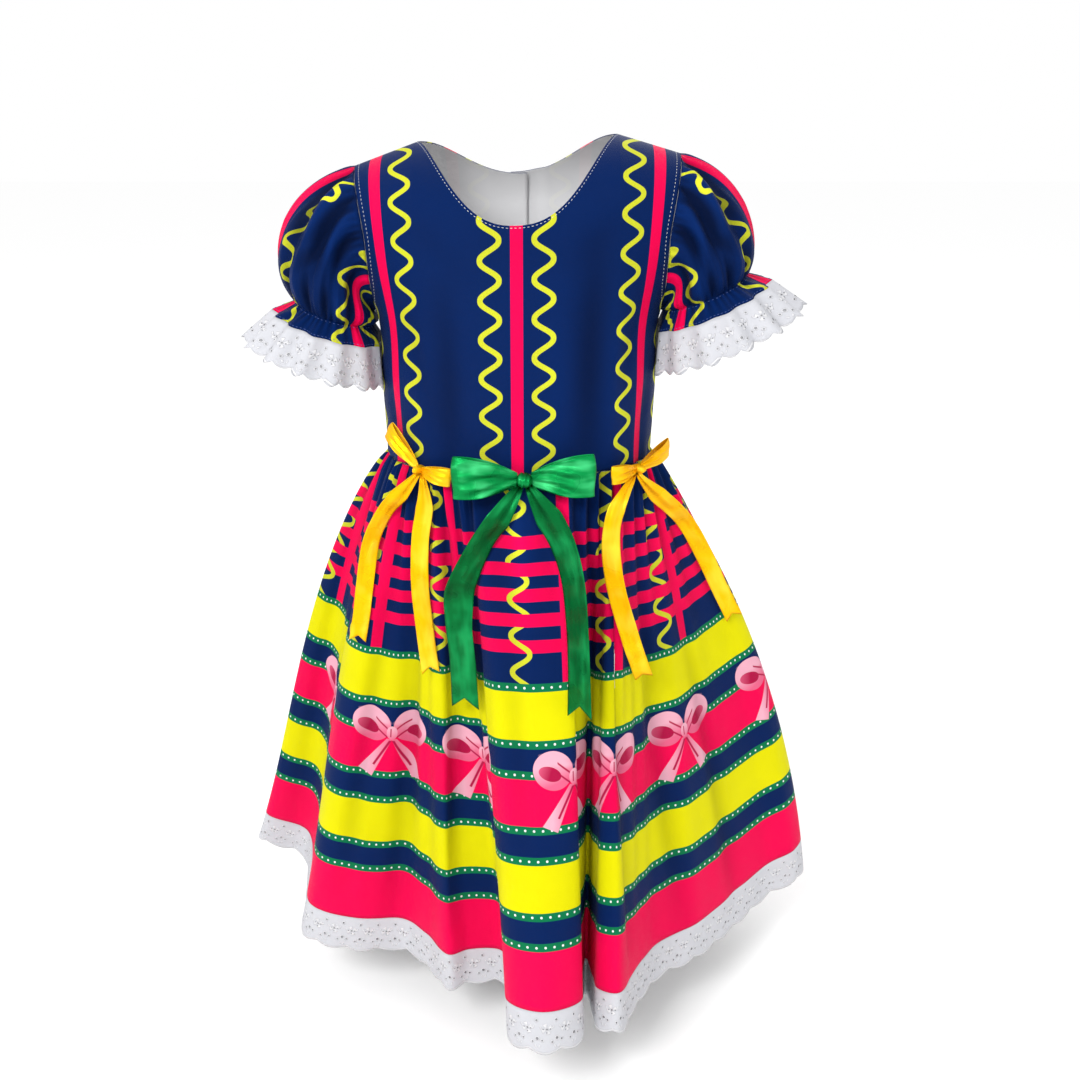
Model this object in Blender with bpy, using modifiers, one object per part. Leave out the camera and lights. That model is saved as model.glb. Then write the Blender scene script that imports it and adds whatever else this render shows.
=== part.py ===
"""Child's festa junina dress, filled out as if worn.

Metres, +Z up. The origin is between the neck points of the shoulders, where the
wearer holds the dress up. The front faces -Y. Left and right are the wearer's,
so left is +X.

Every cloth piece is a surface worked out from the sizes below, with its thickness
behind it. Neighbours stay a seam's gap apart.
"""
import math

import bpy
import numpy as np

COLLECTION = "festa_junina_dress"

# Thickness of the goods and gap at each seam
CLOTH = 0.0012
LACE = 0.0012
RIBBON = 0.0010
SEAM = 0.0003
# Outer gap over the round of the shoulder, which leaves a seam's gap inside
RIDGE_SEAM = 0.0004
ARMHOLE_SEAM = 0.0006
SIDE_SEAM = 0.0005

# Bodice
WAIST_Z = -0.251
SHOULDER_SLOPE = math.tan(math.radians(18))
SHOULDER_LEAN = 0.036
SHOULDER_ROUND = 0.055
NECK_HALF_WIDTH = 0.078
SHOULDER_TIP = 0.127
UNDERARM_Z = -0.137
FRONT_NECK_Z = -0.0595
BACK_NECK_Z = -0.030
NECK_CURVE = 2.4
ARMHOLE_CURVE = 4.0

# Torso sections, from the waist up
TORSO = (
    # height, half width, depth in front, depth behind
    (-0.251, 0.1110, 0.0880, 0.0740),
    (-0.190, 0.1135, 0.0860, 0.0760),
    (-0.137, 0.1150, 0.0830, 0.0770),
    (-0.080, 0.1380, 0.0790, 0.0740),
    (-0.020, 0.1600, 0.0750, 0.0680),
    (0.010, 0.1650, 0.0740, 0.0660),
)

# Bodice mesh: columns of a half panel and the shares of them along each edge
BODICE_COLUMNS = 12
BODICE_ROWS = 11
NECK_SHARE = 0.60
ARMHOLE_SHARE = 0.50
ROW_SPACING = 1.35
ARMHOLE_SPACING = 1.5
# Small steps of angle and drop over which the cloth's slope is read
SLOPE_ANGLE = 0.01
SLOPE_DROP = 0.0005
CHEST_MIDDLE = np.array((0.0, 0.0, -0.15))

# Back lap and its buttons
BACK_LAP = 0.014
LAP_LIFT = CLOTH + 3 * SEAM
LAP_RAMP = 0.012
LAP_FLAT = 0.006
BUTTON_RADIUS = 0.0055
BUTTON_HEIGHT = 0.0024
BUTTON_HEIGHTS = (-0.045, -0.115, -0.185)

# Sleeves: place and tilt of the elastic, by wearer's side
SLEEVES = {
    # side: sign of x, elastic's centre x and z, tilt, radii, reach of the puff above and below
    "left": dict(sign=1, x=0.1520, z=-0.1180, tilt=24, across=0.0350, deep=0.042, rise=0.040, back=0.036),
    "right": dict(sign=-1, x=0.1500, z=-0.1350, tilt=18, across=0.0315, deep=0.041, rise=0.048, back=0.052),
}
# How the puff leaves the armhole and comes in to the elastic
PUFF_DROOP = 0.30
PUFF_UNDERARM = 0.25
PUFF_ROUND = 0.7
PUFF_TURN_OUT = 0.35
PUFF_ARRIVE = (0.85, 0.50)
GATHER_UNDERARM = 0.35
SLEEVE_GATHER = 0.0022
SLEEVE_WAVES = 14
FRILL = 0.019
SLEEVE_LACE = 0.035
FRILL_FLARE = 49
LACE_FLARE = 29
FRILL_WAVE = 0.0018
LACE_WAVE = 0.0045
SCALLOP = 0.0040
# How much of the wave the frill keeps at the elastic and next to the body
WAVE_AT_ELASTIC = 0.30
WAVE_AT_BODY = 0.40
SLEEVE_CLEAR = 0.0026
CLEAR_ABOVE = 0.004
SLEEVE_COLUMNS = 4 * SLEEVE_WAVES
PUFF_ROWS = 6

# Skirt: lengths of cloth from the waist down
SKIRT_CLOTH = 0.431
SKIRT_LACE = 0.036
SKIRT_LENGTH = SKIRT_CLOTH + SKIRT_LACE
FRONT_BELL = 0.12
FRONT_FADE = 2.0
# How the sides swell out above the hem: amount, and how fast it fades
LEFT_BELL = (0.62, 1.0)
RIGHT_BELL = (0.75, 2.0)
GATHER_DEPTH = 0.0026
GATHER_AT_WAIST = 0.35
GATHER_GROW = 0.020
GATHER_FADE = 0.085
FRONT_GATHERS = 24
BACK_GATHERS = 20
# The middle gore: its share of the panel, and how much of the waist it keeps flat
GORE = (0.478, 0.550)
GORE_FLAT = 0.18
GORE_BLEND = 0.15
SKIRT_DROPS = (0.0, 0.014, 0.045, 0.100, 0.185, 0.300, SKIRT_CLOTH)
FRONT_SCALLOPS = 36
BACK_SCALLOPS = 32
SKIRT_MIDDLE = np.array((0.0, 0.0, -0.45))

# Plan of the hem, seen from above: where each fold of the front stands
HEM_FRONT = (
    # fold, x, y
    ("right side seam", -0.262, 0.076),
    ("right side ridge", -0.268, 0.058),
    ("right side valley", -0.224, 0.050),
    ("turn behind the gore", -0.211, -0.010),
    ("right gore corner", -0.203, -0.063),
    ("right gore face", -0.158, -0.075),
    ("right gore dip", -0.112, -0.070),
    ("rise to the ridge", -0.086, -0.092),
    ("right front ridge", -0.064, -0.125),
    ("recess", -0.044, -0.116),
    ("recess end", -0.014, -0.119),
    ("middle gore wall", -0.008, -0.160),
    ("middle gore edge", -0.008, -0.200),
    ("middle gore", 0.022, -0.219),
    ("middle gore far edge", 0.052, -0.201),
    ("deep fold near wall", 0.053, -0.165),
    ("deep fold", 0.0575, -0.129),
    ("deep fold far wall", 0.062, -0.160),
    ("left front edge", 0.065, -0.186),
    ("left front ridge", 0.084, -0.197),
    ("fall from the ridge", 0.101, -0.154),
    ("left gore", 0.125, -0.112),
    ("left gore face", 0.160, -0.089),
    ("left gore turn", 0.200, -0.050),
    ("left side face", 0.238, -0.014),
    ("left side ridge", 0.268, -0.004),
    ("left side seam", 0.275, 0.022),
)

# The hidden back has like folds, ridge and valley by turns
HEM_BACK = (
    # fold, x, y
    ("valley", 0.234, 0.062),
    ("ridge", 0.246, 0.116),
    ("valley", 0.180, 0.128),
    ("ridge", 0.164, 0.190),
    ("valley", 0.100, 0.164),
    ("ridge", 0.066, 0.224),
    ("valley", 0.018, 0.172),
    ("ridge", -0.032, 0.230),
    ("valley", -0.072, 0.170),
    ("ridge", -0.124, 0.208),
    ("valley", -0.154, 0.142),
    ("ridge", -0.208, 0.154),
    ("valley", -0.212, 0.100),
)

# Bows sewn on at the waist. A loop is given by its side, lift in degrees, length and
# how far its end leans off the body. A tail is given by its middle line, seen from the
# front, and by how far it turns about that line.
BOWS = {
    "green_bow": dict(
        x=0.005, z=-0.2500, surface="green_satin", knot=(0.0125, 0.0150, 0.0120),
        ribbon=0.034, pinch=0.011, puff=0.0050,
        loops={"right": (-1, 4, 0.056, 0.004), "left": (1, 5, 0.055, 0.004)},
        tail_width=0.024,
        tails={
            "right": (
                # x, z, turn
                (-0.0140, -0.2774, 30),
                (-0.0290, -0.2990, 35),
                (-0.0450, -0.3340, 15),
                (-0.0480, -0.3640, -20),
                (-0.0450, -0.4000, -25),
                (-0.0435, -0.4390, -20),
            ),
            "left": (
                # x, z, turn
                (0.0240, -0.2780, -20),
                (0.0350, -0.2980, -30),
                (0.0430, -0.3250, -40),
                (0.0465, -0.3600, -45),
                (0.0480, -0.3950, -45),
                (0.0485, -0.4300, -40),
            ),
        },
    ),
    "gold_bow_right": dict(
        x=-0.0756, z=-0.2495, surface="gold_satin", knot=(0.0072, 0.0125, 0.0072),
        ribbon=0.0150, pinch=0.0060, puff=0.0026,
        loops={"right": (-1, 42, 0.043, -0.001), "left": (1, -4, 0.031, -0.003)},
        tail_width=0.0145,
        tails={
            "right": (
                (-0.0921, -0.2675, 10),
                (-0.1090, -0.2880, 25),
                (-0.1220, -0.3150, 20),
                (-0.1285, -0.3500, 5),
                (-0.1330, -0.3800, 0),
                (-0.1375, -0.4040, 0),
            ),
            "left": (
                (-0.0746, -0.2760, -15),
                (-0.0790, -0.3050, -10),
                (-0.0805, -0.3400, 0),
                (-0.0775, -0.3750, 5),
                (-0.0725, -0.4170, 5),
            ),
        },
    ),
    "gold_bow_left": dict(
        x=0.0915, z=-0.2530, surface="gold_satin", knot=(0.0075, 0.0135, 0.0072),
        ribbon=0.0150, pinch=0.0060, puff=0.0026,
        loops={"right": (-1, 2, 0.033, -0.002), "left": (1, 13, 0.044, -0.001)},
        tail_width=0.0150,
        tails={
            "right": (
                (0.0800, -0.2750, 15),
                (0.0748, -0.2920, 20),
                (0.0745, -0.3150, 0),
                (0.0790, -0.3420, -10),
                (0.0890, -0.3750, -5),
                (0.1030, -0.4180, 0),
            ),
            "left": (
                (0.1133, -0.2760, -5),
                (0.1321, -0.2970, -10),
                (0.1467, -0.3180, -10),
                (0.1610, -0.3450, 0),
                (0.1740, -0.3720, 5),
                (0.1900, -0.4040, 5),
            ),
        },
    ),
}
TAIL_STEPS = 14
TAIL_STAND_OFF = 0.0018
TAIL_SET_BACK = 0.50
TAIL_APART = 0.45
TAIL_NOTCH = 0.40
TAIL_ROOT = 0.20
TAIL_SPREAD = 0.20
LOOP_STEPS = 14
LOOP_GAP = 0.0015

COLOURS = {
    # material: colour, roughness
    "printed_cloth": ((0.004, 0.013, 0.10, 1.0), 0.7),
    "eyelet_lace": ((0.86, 0.86, 0.86, 1.0), 0.85),
    "green_satin": ((0.0, 0.23, 0.05, 1.0), 0.35),
    "gold_satin": ((1.0, 0.50, 0.01, 1.0), 0.35),
    "button": ((0.80, 0.80, 0.80, 1.0), 0.4),
}


# Small helpers

def smooth_value(places, values, slopes, place):
    """Smooth curve through a table's column, read at one place."""
    i = max(k for k in range(len(places) - 1) if k == 0 or places[k] <= place)
    span = places[i + 1] - places[i]
    t = min(max((place - places[i]) / span, 0.0), 1.0)
    rise = values[i + 1] - values[i]
    ease = t * t * (3 - 2 * t)
    lead = t * (1 - t) ** 2 * slopes[i] * span
    tail = t * t * (t - 1) * slopes[i + 1] * span
    return values[i] + rise * ease + lead + tail


def smooth_line(points, closed, steps=24):
    """Dense points on a smooth curve through the given ones."""
    count = len(points)
    spans = count if closed else count - 1
    line = []
    for i in range(spans):
        if closed:
            p = [points[(i + k) % count] for k in (-1, 0, 1, 2)]
        else:
            p = [points[min(max(i + k, 0), count - 1)] for k in (-1, 0, 1, 2)]
        for step in range(steps):
            t = step / steps
            line.append(0.5 * (
                2 * p[1] + (p[2] - p[0]) * t
                + (2 * p[0] - 5 * p[1] + 4 * p[2] - p[3]) * t * t
                + (3 * p[1] - p[0] - 3 * p[2] + p[3]) * t ** 3))
    if not closed:
        line.append(points[-1])
    return np.array(line)


def along(line, fractions, axes=None):
    """Points of a line at fractions of its length, which its first axes measure."""
    steps = np.linalg.norm(np.diff(line[:, :axes], axis=0), axis=1)
    travel = np.concatenate(([0.0], np.cumsum(steps)))
    places = np.asarray(fractions) * travel[-1]
    return np.stack([np.interp(places, travel, line[:, k]) for k in range(line.shape[1])], axis=-1)


def unit(vector):
    return vector / np.linalg.norm(vector)


def material(name):
    found = bpy.data.materials.get(name)
    if found:
        return found
    colour, roughness = COLOURS[name]
    made = bpy.data.materials.new(name)
    made.use_nodes = True
    shader = made.node_tree.nodes["Principled BSDF"]
    shader.inputs["Base Color"].default_value = colour
    shader.inputs["Roughness"].default_value = roughness
    shader.inputs["Metallic"].default_value = 0.0
    return made


def add_mesh(name, points, faces, surface):
    mesh = bpy.data.meshes.new(name)
    mesh.from_pydata([tuple(p) for p in points], [], faces)
    mesh.materials.append(material(surface))
    mesh.shade_smooth()
    piece = bpy.data.objects.new(name, mesh)
    bpy.data.collections[COLLECTION].objects.link(piece)
    return piece


def add_wall(name, point_at, net, steps, thickness, surface, inside, closed=False, lift=None):
    """Closed cloth wall over a net of surface coordinates, rows by columns.

    point_at gives the outer point for a pair of coordinates. The inner points
    lie a thickness behind it, square to the surface, so that the rims of two
    pieces that share a seam stay parallel.
    """
    rows, columns = net.shape[:2]
    outer = np.array([[point_at(a, b) for a, b in row] for row in net])
    first, second = steps
    ahead = np.array([[point_at(a + first, b) - point_at(a - first, b) for a, b in row]
                      for row in net])
    below = np.array([[point_at(a, b + second) - point_at(a, b - second) for a, b in row]
                      for row in net])
    normal = np.cross(ahead, below)
    normal /= np.linalg.norm(normal, axis=2)[..., None]
    normal *= math.copysign(1.0, np.sum(normal * (outer - inside)))
    if lift is not None:
        outer = outer + normal * lift[..., None]
    points = np.concatenate((outer.reshape(-1, 3), (outer - normal * thickness).reshape(-1, 3)))
    inner = rows * columns

    def cell(r, c):
        return r * columns + c % columns

    last = columns if closed else columns - 1
    faces = []
    for r in range(rows - 1):
        for c in range(last):
            quad = (cell(r, c), cell(r, c + 1), cell(r + 1, c + 1), cell(r + 1, c))
            faces.append(quad)
            faces.append(tuple(inner + i for i in reversed(quad)))
    for r, turn in ((0, 1), (rows - 1, -1)):
        for c in range(last):
            rim = (cell(r, c), inner + cell(r, c), inner + cell(r, c + 1), cell(r, c + 1))
            faces.append(rim[::turn])
    if not closed:
        for c, turn in ((0, -1), (columns - 1, 1)):
            for r in range(rows - 1):
                rim = (cell(r, c), inner + cell(r, c), inner + cell(r + 1, c), cell(r + 1, c))
                faces.append(rim[::turn])
    quad = faces[0]
    facing = np.cross(points[quad[2]] - points[quad[0]], points[quad[3]] - points[quad[1]])
    if np.dot(facing, normal[0, 0]) < 0:
        faces = [face[::-1] for face in faces]
    return add_mesh(name, points, faces, surface)


# Bodice

TORSO_COLUMNS = [[row[k] for row in TORSO] for k in range(4)]
TORSO_SLOPES = [np.gradient(column, TORSO_COLUMNS[0]) for column in TORSO_COLUMNS[1:]]


def torso(z):
    """Half width and the two depths of the torso at a height."""
    heights = TORSO_COLUMNS[0]
    return [smooth_value(heights, column, slopes, z)
            for column, slopes in zip(TORSO_COLUMNS[1:], TORSO_SLOPES)]


def shoulder_height(x):
    """Height of the shoulder line, a little higher on the wearer's left."""
    return SHOULDER_LEAN * x - SHOULDER_SLOPE * max(0.0, abs(x) - NECK_HALF_WIDTH)


def fall(drop):
    """Height lost by following the cloth down over the round of the shoulder."""
    quarter = SHOULDER_ROUND * math.pi / 2
    if drop < quarter:
        return SHOULDER_ROUND * (1 - math.cos(drop / SHOULDER_ROUND))
    return SHOULDER_ROUND + drop - quarter


def drop_for(height):
    """Length of cloth from the shoulder line that loses this height."""
    if height < SHOULDER_ROUND:
        return SHOULDER_ROUND * math.acos(1 - height / SHOULDER_ROUND)
    return height - SHOULDER_ROUND + SHOULDER_ROUND * math.pi / 2


def bodice_point(angle, drop, back):
    """Outer point: angle from the centre, drop of cloth from the shoulder line."""
    z = -fall(drop)
    for _ in range(8):
        half, front, rear = torso(z)
        x = half * math.sin(angle)
        z = shoulder_height(x) - fall(drop)
    reach = math.sin(min(drop / SHOULDER_ROUND, math.pi / 2))
    depth = rear if back else -front
    return np.array((x, depth * math.cos(angle) * reach, z))


def angle_at(x, drop):
    z = shoulder_height(x) - fall(drop)
    return math.asin(max(min(x / torso(z)[0], 1.0), -1.0))


def armhole_edge(back, sign, count=60):
    """Angle and drop pairs from the underarm up to the shoulder tip."""
    deepest = drop_for(shoulder_height(sign * torso(UNDERARM_Z)[0]) - UNDERARM_Z)
    top = angle_at(sign * SHOULDER_TIP, 0.0)
    drops = deepest * (1 - np.linspace(0, 1, count) ** ARMHOLE_SPACING)
    turn = sign * math.pi / 2 - top
    pairs = np.array([(top + turn * (drop / deepest) ** ARMHOLE_CURVE, drop) for drop in drops])
    places = np.array([bodice_point(angle, drop, back) for angle, drop in pairs])
    travel = np.concatenate(([0.0], np.cumsum(np.linalg.norm(np.diff(places, axis=0), axis=1))))
    return pairs, travel / travel[-1]


def half_panel(back, sign, lap=0.0):
    """Angle and drop of each point of a half bodice, rows from the waist up."""
    neck_drop = drop_for(-(BACK_NECK_Z if back else FRONT_NECK_Z))
    side_angle = math.pi / 2 - SEAM / 2 / (torso(WAIST_Z)[2 if back else 1])
    pairs, travel = armhole_edge(back, sign)
    waist_half = torso(WAIST_Z)[0]

    def waist(u):
        angle = sign * (u * side_angle - (1 - u) * lap / waist_half)
        return np.array((angle, drop_for(shoulder_height(waist_half * math.sin(angle)) - WAIST_Z)))

    def top(u):
        if u <= NECK_SHARE:
            x = NECK_HALF_WIDTH * math.sin(u / NECK_SHARE * math.pi / 2)
            drop = neck_drop * (1 - (x / NECK_HALF_WIDTH) ** NECK_CURVE)
            x -= lap * (1 - u / NECK_SHARE)
        else:
            share = (u - NECK_SHARE) / (1 - NECK_SHARE)
            x = NECK_HALF_WIDTH + share * (SHOULDER_TIP - NECK_HALF_WIDTH)
            drop = 0.0
        drop = max(drop, RIDGE_SEAM / 2)
        return np.array((angle_at(sign * x, drop), drop))

    def centre(v):
        low, high = waist(0), top(0)
        return low + (high - low) * v

    def side(v):
        if v <= ARMHOLE_SHARE:
            low, high = waist(1), pairs[0]
            place = low + (high - low) * v / ARMHOLE_SHARE
            return np.array((sign * min(sign * place[0], side_angle), place[1]))
        share = (v - ARMHOLE_SHARE) / (1 - ARMHOLE_SHARE)
        angle = np.interp(share, travel, pairs[:, 0])
        drop = np.interp(share, travel, pairs[:, 1])
        return np.array((sign * min(sign * angle, side_angle), max(drop, RIDGE_SEAM / 2)))

    net = []
    for v in 1 - (1 - np.linspace(0, 1, BODICE_ROWS + 1)) ** ROW_SPACING:
        row = []
        for u in np.linspace(0, 1, BODICE_COLUMNS + 1):
            across = (1 - v) * waist(u) + v * top(u)
            upward = (1 - u) * centre(v) + u * side(v)
            corners = ((1 - u) * (1 - v) * waist(0) + u * (1 - v) * waist(1)
                       + (1 - u) * v * top(0) + u * v * side(1))
            row.append(across + upward - corners)
        net.append(row)
    return np.array(net)


def make_bodice():
    axis = CHEST_MIDDLE
    steps = (SLOPE_ANGLE, SLOPE_DROP)

    def front_point(angle, drop):
        return bodice_point(angle, drop, False)

    def back_point(angle, drop):
        return bodice_point(angle, drop, True)

    whole = np.concatenate((half_panel(False, -1)[:, :0:-1], half_panel(False, 1)), axis=1)
    add_wall("bodice_front", front_point, whole, steps, CLOTH, "printed_cloth", axis)
    half = half_panel(True, -1, lap=BACK_LAP / 2)
    add_wall("bodice_back_right", back_point, half, steps, CLOTH, "printed_cloth", axis)
    half = half_panel(True, 1, lap=BACK_LAP / 2)
    x = np.array([[back_point(angle, drop)[0] for angle, drop in row] for row in half])
    share = np.clip((BACK_LAP / 2 + LAP_FLAT + LAP_RAMP - x) / LAP_RAMP, 0, 1)
    lift = LAP_LIFT * share * share * (3 - 2 * share)
    add_wall("bodice_back_left", back_point, half, steps, CLOTH, "printed_cloth", axis, lift=lift)


def make_buttons():
    for number, height in enumerate(BUTTON_HEIGHTS, start=1):
        drop = drop_for(-height)
        low = bodice_point(0.0, drop + BUTTON_RADIUS, True)
        high = bodice_point(0.0, drop - BUTTON_RADIUS, True)
        facing = unit(np.cross(high - low, (1.0, 0.0, 0.0)))
        facing *= math.copysign(1, facing[1])
        place = (low + high) / 2 + facing * (LAP_LIFT + 2 * SEAM + BUTTON_HEIGHT / 2)
        bpy.ops.mesh.primitive_cylinder_add(vertices=12, radius=BUTTON_RADIUS, depth=BUTTON_HEIGHT)
        button = bpy.context.object
        button.name = f"back_button_{number}"
        button.location = place
        button.rotation_euler = (-math.acos(facing[2]), 0.0, 0.0)
        button.data.materials.append(material("button"))
        edge = button.modifiers.new("Rim", "BEVEL")
        edge.width = BUTTON_HEIGHT / 4
        edge.segments = 1
        for home in button.users_collection:
            home.objects.unlink(button)
        bpy.data.collections[COLLECTION].objects.link(button)


# Sleeves

def armhole_loop(sign, count=240):
    """Closed armhole edge from the tip round the front, with its outward rim."""
    front, _ = armhole_edge(False, sign)
    rear, _ = armhole_edge(True, sign)
    places, rims = [], []
    for pairs, back in ((front[::-1], False), (rear[1:-1], True)):
        for angle, drop in pairs:
            drop = max(drop, RIDGE_SEAM / 2)
            place = bodice_point(angle, drop, back)
            across = bodice_point(angle + SLOPE_ANGLE, drop, back)
            across = across - bodice_point(angle - SLOPE_ANGLE, drop, back)
            along_drop = bodice_point(angle, drop + SLOPE_DROP, back)
            along_drop = along_drop - bodice_point(angle, drop - SLOPE_DROP, back)
            normal = unit(np.cross(across, along_drop))
            normal *= math.copysign(1, np.dot(normal, place - CHEST_MIDDLE))
            places.append(place)
            rims.append(normal)
    line = np.array(places + places[:1])
    normals = np.array(rims + rims[:1])
    fractions = np.arange(count) / count
    loop = along(line, fractions)
    steps = np.linalg.norm(np.diff(line, axis=0), axis=1)
    travel = np.concatenate(([0.0], np.cumsum(steps))) / steps.sum()
    faces = np.stack([np.interp(fractions, travel, normals[:, k]) for k in range(3)], axis=-1)
    ahead = np.roll(loop, -2, axis=0) - np.roll(loop, 2, axis=0)
    out = np.cross(ahead, faces)
    out /= np.linalg.norm(out, axis=1)[:, None]
    if out[0][0] * sign < 0:
        out = -out
    return np.concatenate((loop, loop[:1])), np.concatenate((out, out[:1]))


def clear_of_torso(point, sign, margin):
    """Move a sleeve point outward until it is clear of the bodice's side."""
    x, y, z = point
    half, front, rear = torso(max(z, WAIST_Z))
    depth = front if y < 0 else rear
    inside = 1 - (y / (depth + margin)) ** 2
    if inside <= 0 or z > UNDERARM_Z + CLEAR_ABOVE:
        return point
    limit = (half + margin) * math.sqrt(inside)
    return np.array((sign * max(sign * x, limit), y, z))


def sleeve_frame(size):
    tilt = math.radians(size["tilt"])
    sign = size["sign"]
    centre = np.array((sign * size["x"], 0.0, size["z"]))
    outer = np.array((sign * math.cos(tilt), 0.0, math.sin(tilt)))
    down = np.array((sign * math.sin(tilt), 0.0, -math.cos(tilt)))
    return centre, outer, down


def cuff_point(size, turn, travel):
    """Point below the elastic, travel metres along the frill and lace."""
    centre, outer, down = sleeve_frame(size)
    radial = unit(outer * math.cos(turn) + np.array((0.0, -1.0, 0.0)) * math.sin(turn))
    ring = centre + outer * size["across"] * math.cos(turn)
    ring = ring - np.array((0.0, size["deep"] * math.sin(turn), 0.0))
    first = math.radians(FRILL_FLARE)
    second = math.radians(LACE_FLARE)
    frill = min(travel, FRILL)
    lace = max(travel - FRILL, 0.0)
    point = ring + frill * (radial * math.sin(first) + down * math.cos(first))
    point = point + lace * (radial * math.sin(second) + down * math.cos(second))
    share = travel / (FRILL + SLEEVE_LACE)
    wave = FRILL_WAVE + (LACE_WAVE - FRILL_WAVE) * share
    wave *= math.sin(SLEEVE_WAVES * turn) * min(1.0, travel / FRILL + WAVE_AT_ELASTIC)
    outward = min(1.0, 0.5 + 0.5 * math.cos(turn)) if math.cos(turn) < 0 else 1.0
    point = point + radial * wave * (WAVE_AT_BODY + (1 - WAVE_AT_BODY) * outward)
    return clear_of_torso(point, size["sign"], SLEEVE_CLEAR)


def make_sleeve(side):
    size = SLEEVES[side]
    sign = size["sign"]
    centre, outer, down = sleeve_frame(size)
    loop, rim = armhole_loop(sign)
    shares = np.linspace(0, 1, len(loop))
    forward = np.array((0.0, -1.0, 0.0))

    def puff_point(turn, t):
        place = (turn / (2 * math.pi)) % 1.0
        edge = np.array([np.interp(place, shares, loop[:, k]) for k in range(3)])
        away = unit(np.array([np.interp(place, shares, rim[:, k]) for k in range(3)]))
        top = (1 + math.cos(turn)) / 2
        fullness = PUFF_UNDERARM + (1 - PUFF_UNDERARM) * top ** PUFF_ROUND
        radial = outer * math.cos(turn) + forward * math.sin(turn)
        start = edge + away * ARMHOLE_SEAM
        end = cuff_point(size, turn, 0.0)
        turn_out = (away + radial) * PUFF_TURN_OUT
        leave = unit(turn_out + np.array((sign, 0, 0)) + down * PUFF_DROOP * top)
        arrive = unit(radial * PUFF_ARRIVE[0] - down * PUFF_ARRIVE[1])
        first = start + leave * size["rise"] * fullness
        second = end + arrive * size["back"] * fullness
        point = ((1 - t) ** 3 * start + 3 * t * (1 - t) ** 2 * first
                 + 3 * t * t * (1 - t) * second + t ** 3 * end)
        depth = SLEEVE_GATHER * (GATHER_UNDERARM + (1 - GATHER_UNDERARM) * top)
        depth *= math.sqrt(math.sin(math.pi * min(max(t, 0.0), 1.0)))
        point = point + unit(radial) * depth * math.sin(SLEEVE_WAVES * turn)
        return clear_of_torso(point, sign, SLEEVE_CLEAR) if t > 0 else point

    def sleeve_point(turn, travel):
        if travel <= 1.0:
            return puff_point(turn, travel)
        return cuff_point(size, turn, (travel - 1.0) * (FRILL - SEAM))

    turns = 2 * math.pi * np.arange(SLEEVE_COLUMNS) / SLEEVE_COLUMNS
    levels = [r / PUFF_ROWS for r in range(PUFF_ROWS + 1)] + [2.0]
    net = np.array([[(turn, level) for turn in turns] for level in levels])
    inside = (centre + loop.mean(axis=0)) / 2
    steps = (0.02, 0.01)
    add_wall(f"sleeve_{side}", sleeve_point, net, steps, CLOTH, "printed_cloth", inside, closed=True)

    def lace_point(turn, share):
        edge = SLEEVE_LACE - SCALLOP * (1 - abs(math.sin(SLEEVE_WAVES * turn + math.pi / 4)))
        return cuff_point(size, turn, FRILL + share * edge)

    net = np.array([[(turn, share) for turn in turns] for share in (0.0, 1.0)])
    below = centre + down * (FRILL + SLEEVE_LACE) / 2
    steps = (0.02, 0.05)
    add_wall(f"sleeve_lace_{side}", lace_point, net, steps, LACE, "eyelet_lace", below, closed=True)


# Skirt

def hem_lines():
    """Plan of the hem as two dense lines, front and back, seam to seam."""
    front = [np.array(row[1:], dtype=float) for row in HEM_FRONT]
    back = [np.array(row[1:], dtype=float) for row in HEM_BACK]
    steps = 24
    ring = smooth_line(front + back, closed=True, steps=steps)
    split = (len(front) - 1) * steps
    return ring[:split + 1], np.concatenate((ring[split:], ring[:1]))


HEM_LINES = hem_lines()


def waist_share(share, back):
    """Where a share of the panel's cloth stands on the waist: the middle gore lies flat there."""
    if back:
        return share
    place = (share - GORE[0]) / (GORE[1] - GORE[0])
    step = 0.5 + (math.hypot(place, GORE_BLEND) - math.hypot(place - 1, GORE_BLEND)) / 2
    return (share + GORE_FLAT * step) / (1 + GORE_FLAT)


def skirt_point(share, back, down, gather=True):
    """Outer point at a share of the panel's cloth, down metres below the waist."""
    angle = math.pi * (waist_share(share, back) - 0.5) + (math.pi if back else 0.0)
    if share < 0.0 or share > 1.0:
        back = not back
        share = share % 1.0
    half, front, rear = torso(WAIST_Z)
    facing = np.array((math.sin(angle), -math.cos(angle)))
    depth = rear if back else front
    waist = np.array((half, depth)) * facing
    hem = along(HEM_LINES[1 if back else 0], [share])[0]
    spread = hem - waist
    swell, fade = LEFT_BELL if math.sin(angle) > 0 else RIGHT_BELL
    sideways = math.sin(angle) ** 2
    bell = FRONT_BELL + (swell - FRONT_BELL) * sideways
    fade = FRONT_FADE + (fade - FRONT_FADE) * sideways
    steps = 16
    t = np.linspace(0, min(down / SKIRT_LENGTH, 1.0), steps + 1)
    slope = 1 + bell * (1 - t) ** fade - bell * fade * t * np.maximum(1 - t, 1e-9) ** (fade - 1)
    lean = np.linalg.norm(spread) / SKIRT_LENGTH * slope
    upright = np.sqrt(1 - lean ** 2)
    height = (upright[1:] + upright[:-1]).sum() / 2 * (t[1] - t[0]) * SKIRT_LENGTH
    end = t[-1]
    plan = waist + spread * (end + bell * end * (1 - end) ** fade)
    if gather:
        count = BACK_GATHERS if back else FRONT_GATHERS
        deep = GATHER_DEPTH * min(1.0, GATHER_AT_WAIST + down / GATHER_GROW)
        deep *= math.exp(-(down / GATHER_FADE) ** 2)
        plan = plan + facing * deep * math.sin(2 * math.pi * count * share)
    return np.array((plan[0], plan[1], WAIST_Z - SEAM - height))


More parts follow.
